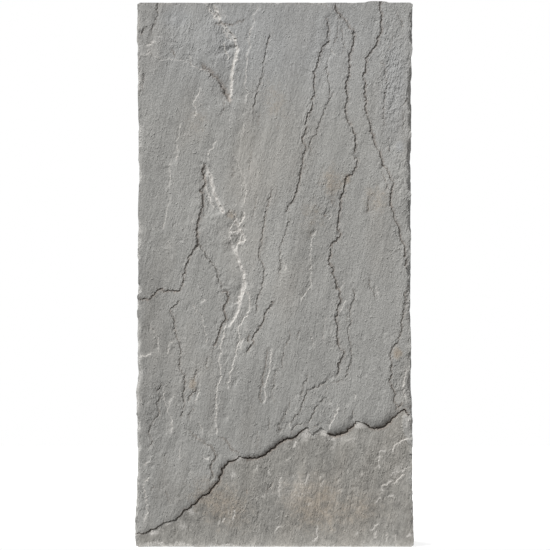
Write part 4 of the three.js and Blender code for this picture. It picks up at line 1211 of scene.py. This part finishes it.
# %% Join the three parts
def build_stone():
    """The mesh of the whole stone, in metres."""
    columns, rows = rim_points.shape[:2]
    rim_flat = rim_points.reshape(-1, 3)
    faces = list(front_faces)
    first = len(front_points)
    faces += [tuple(first + k for k in reversed(face)) for face in back_faces]
    rim_first = first + len(back_points)
    for c in range(columns):
        following = (c + 1) % columns
        for r in range(rows - 1):
            faces.append((rim_first + c * rows + r, rim_first + c * rows + r + 1,
                          rim_first + following * rows + r + 1, rim_first + following * rows + r))
    points = np.vstack((front_points, back_points, rim_flat))
    masks = {}
    for name in front_masks:
        on_rim = np.full(len(rim_flat), 0.5 if name == "tone" else 0.0)
        masks[name] = np.concatenate((front_masks[name], back_masks[name], on_rim))
    masks["rim"] = np.concatenate((np.zeros(len(front_points) + len(back_points)), np.ones(len(rim_flat))))
    chipped = push_out(points, all_chips())
    masks["pale"] = np.maximum(masks["pale"], 0.5 * chipped)
    masks["rough"] = np.maximum(masks["rough"], 0.7 * chipped)
    mesh = bpy.data.meshes.new("riven sandstone")
    mesh.from_pydata(points * MM, [], faces)
    for name, values in masks.items():
        layer = mesh.attributes.new(name, "FLOAT", "POINT")
        layer.data.foreach_set("value", np.clip(values, 0, 1).astype(np.float32))
    return mesh


stone_mesh = build_stone()
print("mesh before welding:", len(stone_mesh.vertices), "points")

# %% Weld and finish the mesh
WELD = 0.02 * MM
SHARP = math.radians(38)
work = bmesh.new()
work.from_mesh(stone_mesh)
bmesh.ops.remove_doubles(work, verts=work.verts, dist=WELD)
bmesh.ops.triangulate(work, faces=work.faces)
bmesh.ops.recalc_face_normals(work, faces=work.faces)
open_edges = sum(1 for edge in work.edges if len(edge.link_faces) != 2)
print("triangles:", len(work.faces), "open edges:", open_edges)
work.to_mesh(stone_mesh)
work.free()
stone_mesh.shade_smooth()
stone_mesh.set_sharp_from_angle(angle=SHARP)

stone = bpy.data.objects.new("riven_stone", stone_mesh)
bpy.context.collection.objects.link(stone)
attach(stone, "root")
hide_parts("post")

# %% [markdown]
# ## The stone's finish
# The colour of sandstone comes from many small causes, so the material is built from a few node groups that
# each do one thing. All of them work in millimetres on the object's own coordinates, so the grain keeps its
# real size from every side.

# %% Helpers for node groups
def new_group(name, inputs, outputs):
    """A shader node group with named sockets and its two end nodes."""
    group = bpy.data.node_groups.new(name, "ShaderNodeTree")
    for label, kind, value in inputs:
        socket = group.interface.new_socket(label, in_out="INPUT", socket_type=kind)
        if value is not None:
            socket.default_value = value
    for label, kind in outputs:
        group.interface.new_socket(label, in_out="OUTPUT", socket_type=kind)
    return group, group.nodes.new("NodeGroupInput"), group.nodes.new("NodeGroupOutput")


def give(group, ends_out, **values):
    """Links values to the outputs of the same names, and returns the finished group."""
    for label, value in values.items():
        group.links.new(value, ends_out.inputs[label])
    return group


def math_node(tree, operation, first, second=None, clamp=False):
    """A Math node. A number goes on the socket, a socket is linked."""
    node = tree.nodes.new("ShaderNodeMath")
    node.operation = operation
    node.use_clamp = clamp
    for index, value in enumerate((first, second)):
        if value is None:
            continue
        if isinstance(value, (int, float)):
            node.inputs[index].default_value = value
        else:
            tree.links.new(value, node.inputs[index])
    return node.outputs[0]


def centred_noise(tree, vector, scale, detail=2.0, roughness=0.5):
    """Noise from about -1 to 1."""
    node = tree.nodes.new("ShaderNodeTexNoise")
    node.inputs["Scale"].default_value = scale
    node.inputs["Detail"].default_value = detail
    node.inputs["Roughness"].default_value = roughness
    tree.links.new(vector, node.inputs["Vector"])
    doubled = math_node(tree, "MULTIPLY", node.outputs["Fac"], 2.0)
    return math_node(tree, "SUBTRACT", doubled, 1.0)


def stretched(tree, vector, scale):
    """Coordinates divided along each axis, which draws a texture out."""
    node = tree.nodes.new("ShaderNodeVectorMath")
    node.operation = "MULTIPLY"
    node.inputs[1].default_value = scale
    tree.links.new(vector, node.inputs[0])
    return node.outputs[0]


# %% Group: coordinates along the grain
def grain_coordinates():
    """Object coordinates in millimetres, turned so that Z runs along the grain."""
    group, ends_in, ends_out = new_group("Grain coordinates", [], [("Along grain", "NodeSocketVector")])
    place = group.nodes.new("ShaderNodeTexCoord")
    turn = group.nodes.new("ShaderNodeMapping")
    turn.vector_type = "POINT"
    turn.inputs["Rotation"].default_value = (0, -LEAN, 0)
    turn.inputs["Scale"].default_value = (1 / MM, 1 / MM, 1 / MM)
    group.links.new(place.outputs["Object"], turn.inputs["Vector"])
    group.links.new(turn.outputs["Vector"], ends_out.inputs["Along grain"])
    return group


def levelled(tree, value, start, end):
    """A smooth step from 0 at one value to 1 at another."""
    node = tree.nodes.new("ShaderNodeMapRange")
    node.interpolation_type = "SMOOTHSTEP"
    node.inputs["From Min"].default_value = start
    node.inputs["From Max"].default_value = end
    tree.links.new(value, node.inputs["Value"])
    return node.outputs["Result"]


def weighted_sum(tree, parts):
    """The sum of values, each times its weight."""
    total = None
    for value, weight in parts:
        scaled = math_node(tree, "MULTIPLY", value, weight)
        total = scaled if total is None else math_node(tree, "ADD", total, scaled)
    return total


# %% Group: the grain itself
def sand_grain():
    """Fine sand grains and drawn-out ridges, as a tone and a height in millimetres."""
    group, ends_in, ends_out = new_group(
        "Sand grain", [("Along grain", "NodeSocketVector", None), ("Coarseness", "NodeSocketFloat", 0.0)],
        [("Tone", "NodeSocketFloat"), ("Height", "NodeSocketFloat"), ("Crumbs", "NodeSocketFloat")])
    vector = ends_in.outputs["Along grain"]
    ridges = centred_noise(group, stretched(group, vector, (1, 1, 0.16)), 0.75, 0, 0.6)
    grains = centred_noise(group, stretched(group, vector, (1, 1, 0.7)), 0.7, 0, 0.6)
    sand = centred_noise(group, vector, 1.15, 0, 0.6)
    coarse = centred_noise(group, stretched(group, vector, (1, 1, 0.5)), 0.5, 1, 0.7)
    scatter = centred_noise(group, stretched(group, vector, (1, 1, 0.7)), 0.5, 2, 0.55)
    patches = centred_noise(group, vector, 0.05, 3, 0.6)
    gathered = weighted_sum(group, [(scatter, 1.0), (patches, 0.35), (ends_in.outputs["Coarseness"], 0.12)])
    crumbs = levelled(group, gathered, 0.3, 0.5)
    tone = weighted_sum(group, [(ridges, 0.3), (grains, 0.4), (sand, 0.6)])
    rough = math_node(group, "MULTIPLY", coarse, ends_in.outputs["Coarseness"])
    height = weighted_sum(group, [(ridges, 0.12), (grains, 0.155), (sand, 0.18), (rough, 1.0),
                                  (crumbs, 0.45)])
    return give(group, ends_out, Tone=tone, Height=height, Crumbs=crumbs)


# %% [markdown]
# Thin flakes came off everywhere, far thinner than the steps in the mesh. A noise that is snapped to levels
# gives such terraces: flat floors with a short slope between them. Another noise thins them out in places.

# %% Group: thin flakes
def terraces(tree, vector, scale, count, edge):
    """A noise snapped to levels, with short slopes between the levels."""
    field = math_node(tree, "MULTIPLY", centred_noise(tree, vector, scale, 5, 0.62), count)
    floor = math_node(tree, "FLOOR", field)
    slope = levelled(tree, math_node(tree, "SUBTRACT", field, floor), 0.0, edge)
    return math_node(tree, "ADD", floor, slope)


def thin_flakes():
    """Terraces of lifted flakes, as a height in millimetres."""
    group, ends_in, ends_out = new_group(
        "Thin flakes", [("Along grain", "NodeSocketVector", None), ("Thickness", "NodeSocketFloat", 0.1)],
        [("Height", "NodeSocketFloat")])
    vector = ends_in.outputs["Along grain"]
    broad = terraces(group, stretched(group, vector, (1, 1, 0.25)), 0.055, 7.0, 0.35)
    small = terraces(group, stretched(group, vector, (1, 1, 0.4)), 0.14, 4.0, 0.4)
    thinned = levelled(group, centred_noise(group, vector, 0.03, 2, 0.5), -0.3, 0.4)
    height = weighted_sum(group, [(broad, 1.0), (math_node(group, "MULTIPLY", small, thinned), 0.8)])
    height = math_node(group, "MULTIPLY", height, ends_in.outputs["Thickness"])
    return give(group, ends_out, Height=height)


# %% Group: slow changes of tone
def bed_tone():
    """Broad clouds and streaks in the stone's tone."""
    group, ends_in, ends_out = new_group(
        "Bed tone", [("Along grain", "NodeSocketVector", None)],
        [("Tone", "NodeSocketFloat"), ("Warmth", "NodeSocketFloat")])
    vector = ends_in.outputs["Along grain"]
    clouds = centred_noise(group, stretched(group, vector, (1, 1, 0.5)), 0.03, 4, 0.55)
    streaks = centred_noise(group, stretched(group, vector, (1, 1, 0.08)), 0.16, 3, 0.6)
    warmth = centred_noise(group, stretched(group, vector, (1, 1, 0.4)), 0.02, 3, 0.5)
    across_beds = centred_noise(group, stretched(group, vector, (0.04, 1, 0.04)), 0.22, 3, 0.6)
    tone = weighted_sum(group, [(clouds, 0.5), (streaks, 0.9), (across_beds, 0.5)])
    return give(group, ends_out, Tone=tone, Warmth=warmth)


# %% [markdown]
# ## Putting the material together
# The base colour is a neutral grey that the tones and the painted light and shade lighten and darken. The
# masks of the mesh then lay on the iron stains, the cooler places, the pale crushed stone, with painted light
# bounced from the floor along the base, and the soil, with painted shade in the grooves at the foot of each
# step. The heights meet in one Bump node, scaled in millimetres.

# %% Colours of the stone
GREY = (0.309, 0.305, 0.290)
OCHRE = (0.32, 0.262, 0.2)
COOL = (0.298, 0.303, 0.306)
# Pale, used for crushed stone and chips, and as painted light bounced from the floor along the base
PALE = (0.58, 0.56, 0.53)
# Dark brown, used for soil and as painted shade in the grooves at the foot of the steps
SOIL_AND_SHADE = (0.16, 0.118, 0.09)
FOOT = (0.272, 0.263, 0.243)


def mix_colour(tree, factor, first, second, blend="MIX"):
    """A colour Mix node. Colours may be tuples or sockets."""
    node = tree.nodes.new("ShaderNodeMix")
    node.data_type = "RGBA"
    node.blend_type = blend
    for label, value in ((0, factor), (6, first), (7, second)):
        if isinstance(value, tuple):
            node.inputs[label].default_value = (*value, 1)
        elif isinstance(value, (int, float)):
            node.inputs[label].default_value = value
        else:
            tree.links.new(value, node.inputs[label])
    return node.outputs[2]


def mask_node(tree, name):
    """Reads one of the mesh's masks."""
    node = tree.nodes.new("ShaderNodeAttribute")
    node.attribute_name = name
    return node.outputs["Fac"]


def place_group(tree, group, vector=None):
    """Places a node group in a material."""
    node = tree.nodes.new("ShaderNodeGroup")
    node.node_tree = group
    if vector is not None:
        tree.links.new(vector, node.inputs["Along grain"])
    return node


# %% The sandstone material
def sandstone_material():
    """The whole finish of the stone."""
    material = bpy.data.materials.new("sandstone")
    material.use_nodes = True
    tree = material.node_tree
    shader = tree.nodes["Principled BSDF"]
    vector = place_group(tree, grain_coordinates()).outputs["Along grain"]
    grain = place_group(tree, sand_grain(), vector)
    flakes = place_group(tree, thin_flakes(), vector)
    beds = place_group(tree, bed_tone(), vector)
    coarse = weighted_sum(tree, [(mask_node(tree, "rough"), 1.0), (mask_node(tree, "rim"), 0.8),
                                 (mask_node(tree, "foot"), 0.15), (mask_node(tree, "pale"), -0.6)])
    coarse = math_node(tree, "MAXIMUM", coarse, 0.0)
    tree.links.new(coarse, grain.inputs["Coarseness"])
    speckle = centred_noise(tree, vector, 0.62, 3, 0.7)
    blotch = centred_noise(tree, vector, 0.16, 4, 0.7)

    colour = mix_colour(tree, mask_node(tree, "foot"), GREY, FOOT)
    warm = math_node(tree, "MULTIPLY", beds.outputs["Warmth"], 0.3, clamp=True)
    colour = mix_colour(tree, warm, colour, OCHRE)
    colour = mix_colour(tree, math_node(tree, "MULTIPLY", mask_node(tree, "cool"), 0.8), colour, COOL)
    stain = weighted_sum(tree, [(mask_node(tree, "ochre"), 1.0), (blotch, 0.5), (speckle, 0.35)])
    stain = math_node(tree, "MULTIPLY", levelled(tree, stain, 0.15, 1.0), 0.7)
    colour = mix_colour(tree, stain, colour, OCHRE)

    crumbly = math_node(tree, "MULTIPLY", grain.outputs["Crumbs"], mask_node(tree, "foot"))
    tone = weighted_sum(tree, [(grain.outputs["Tone"], 0.32), (beds.outputs["Tone"], 0.22),
                               (grain.outputs["Crumbs"], 0.12), (crumbly, 0.14)])
    # The tone mask is painted light and shade: broad places made lighter or darker in the colour
    painted_light_and_shade = math_node(tree, "SUBTRACT", mask_node(tree, "tone"), 0.5)
    mottle = math_node(tree, "MULTIPLY", blotch, mask_node(tree, "foot"))
    tone = weighted_sum(tree, [(tone, 1.0), (painted_light_and_shade, 0.36), (mottle, 0.5)])
    tone = math_node(tree, "ADD", tone, 0.99)
    grey_tone = tree.nodes.new("ShaderNodeCombineColor")
    for socket in grey_tone.inputs[:3]:
        tree.links.new(tone, socket)
    colour = mix_colour(tree, 1.0, colour, grey_tone.outputs[0], "MULTIPLY")

    # Pale crushed stone and chips, and painted light bounced from the floor along the base
    crushed_and_bounce = weighted_sum(tree, [(mask_node(tree, "pale"), 1.0), (speckle, 0.65),
                                  (mask_node(tree, "foot"), 0.14)])
    crushed_and_bounce = math_node(tree, "MULTIPLY", levelled(tree, crushed_and_bounce, 0.3, 0.85), 0.66)
    colour = mix_colour(tree, crushed_and_bounce, colour, PALE)
    # Soil and painted shade: dark speckles, and the grooves at the foot of the steps darkened.
    held = weighted_sum(tree, [(mask_node(tree, "soil_and_shade"), 1.0), (speckle, 1.0)])
    held = math_node(tree, "MULTIPLY", levelled(tree, held, 0.15, 0.9), 0.5)
    colour = mix_colour(tree, held, colour, SOIL_AND_SHADE)
    tree.links.new(colour, shader.inputs["Base Color"])

    height = math_node(tree, "ADD", grain.outputs["Height"], flakes.outputs["Height"])
    bump = tree.nodes.new("ShaderNodeBump")
    bump.inputs["Strength"].default_value = 1.0
    bump.inputs["Distance"].default_value = MM
    bump.inputs["Filter Width"].default_value = 0.6
    tree.links.new(height, bump.inputs["Height"])
    tree.links.new(bump.outputs["Normal"], shader.inputs["Normal"])

    dullness = weighted_sum(tree, [(grain.outputs["Tone"], 0.06)])
    tree.links.new(math_node(tree, "ADD", dullness, 0.88, clamp=True), shader.inputs["Roughness"])
    shader.inputs["Specular IOR Level"].default_value = 0.3
    return material


stone_mesh.materials.append(sandstone_material())
print("node groups:", [group.name for group in bpy.data.node_groups])

# %% [markdown]
# ## Floor, light and camera
# The stone stands on a pale floor in a white room, which is seen as white but gives little light of its own.
# The main light is high at the left, as on the stone's own steps. A broad sky light and a weak light from the
# right fill the shadows, and a fourth light serves the back. The floor ends just in front of the stone: more
# of it would light the face from below and wash the steps out. The camera is a long lens at half height.

# %% Pale floor
FLOOR_FRONT = -0.044
FLOOR_BACK = 1.6
FLOOR_HALF_WIDTH = 1.6


def pale_floor():
    """A pale floor that glows a little, so that hardly any shadow shows on it."""
    corners = [(-FLOOR_HALF_WIDTH, FLOOR_FRONT, 0), (FLOOR_HALF_WIDTH, FLOOR_FRONT, 0),
               (FLOOR_HALF_WIDTH, FLOOR_BACK, 0), (-FLOOR_HALF_WIDTH, FLOOR_BACK, 0)]
    mesh = bpy.data.meshes.new("pale floor")
    mesh.from_pydata(corners, [], [(0, 1, 2, 3)])
    material = bpy.data.materials.new("pale floor")
    material.use_nodes = True
    shader = material.node_tree.nodes["Principled BSDF"]
    shader.inputs["Base Color"].default_value = (0.5, 0.5, 0.5, 1)
    shader.inputs["Roughness"].default_value = 0.9
    shader.inputs["Emission Color"].default_value = (1, 1, 1, 1)
    shader.inputs["Emission Strength"].default_value = 0.75
    mesh.materials.append(material)
    floor = bpy.data.objects.new("pale_floor", mesh)
    bpy.context.collection.objects.link(floor)


pale_floor()


# %% Lights
ROOM_LIGHT = 0.12


def far_light(name, place, strength, softness):
    """A lamp so far away that it lights the whole stone evenly, from the direction of a place."""
    lamp = bpy.data.lights.new(name, "SUN")
    lamp.energy = strength
    lamp.angle = math.radians(softness)
    shown = bpy.data.objects.new(name, lamp)
    shown.location = place
    shown.rotation_euler = (-Vector(place)).to_track_quat("-Z", "Y").to_euler()
    bpy.context.collection.objects.link(shown)


far_light("main light", (-1.25, -1.15, 1.25), strength=3.42, softness=12)
far_light("sky light", (-0.6, -1.4, 1.3), strength=1.36, softness=90)
far_light("right light", (1.5, -0.5, 0.6), strength=0.3, softness=60)
far_light("back light", (-0.9, 1.3, 1.1), strength=2.0, softness=30)

world = bpy.data.worlds.new("soft room")
bpy.context.scene.world = world
world.use_nodes = True
background = world.node_tree.nodes["Background"]
background.inputs["Color"].default_value = (1, 1, 1, 1)
seen = world.node_tree.nodes.new("ShaderNodeLightPath").outputs["Is Camera Ray"]
brightness = world.node_tree.nodes.new("ShaderNodeMapRange")
brightness.inputs["To Min"].default_value = ROOM_LIGHT
brightness.inputs["To Max"].default_value = 1.0
world.node_tree.links.new(seen, brightness.inputs["Value"])
world.node_tree.links.new(brightness.outputs["Result"], background.inputs["Strength"])
bpy.context.scene.view_settings.view_transform = "Standard"

# %% Camera
FRAME_WIDTH = 504.6 * MM
FRAME_MIDDLE_X = 0.5 * MM
LENS = 200.0
SENSOR = 36.0
camera_data = bpy.data.cameras.new("camera")
camera_data.lens = LENS
camera_data.sensor_width = SENSOR
camera = bpy.data.objects.new("camera", camera_data)
distance = FRAME_WIDTH * LENS / SENSOR
camera.location = (FRAME_MIDDLE_X, FRONT_Y * MM - distance, HEIGHT * MM / 2)
camera.rotation_euler = (math.pi / 2, 0, 0)
bpy.context.collection.objects.link(camera)
bpy.context.scene.camera = camera
print("camera distance:", round(distance, 3), "m")
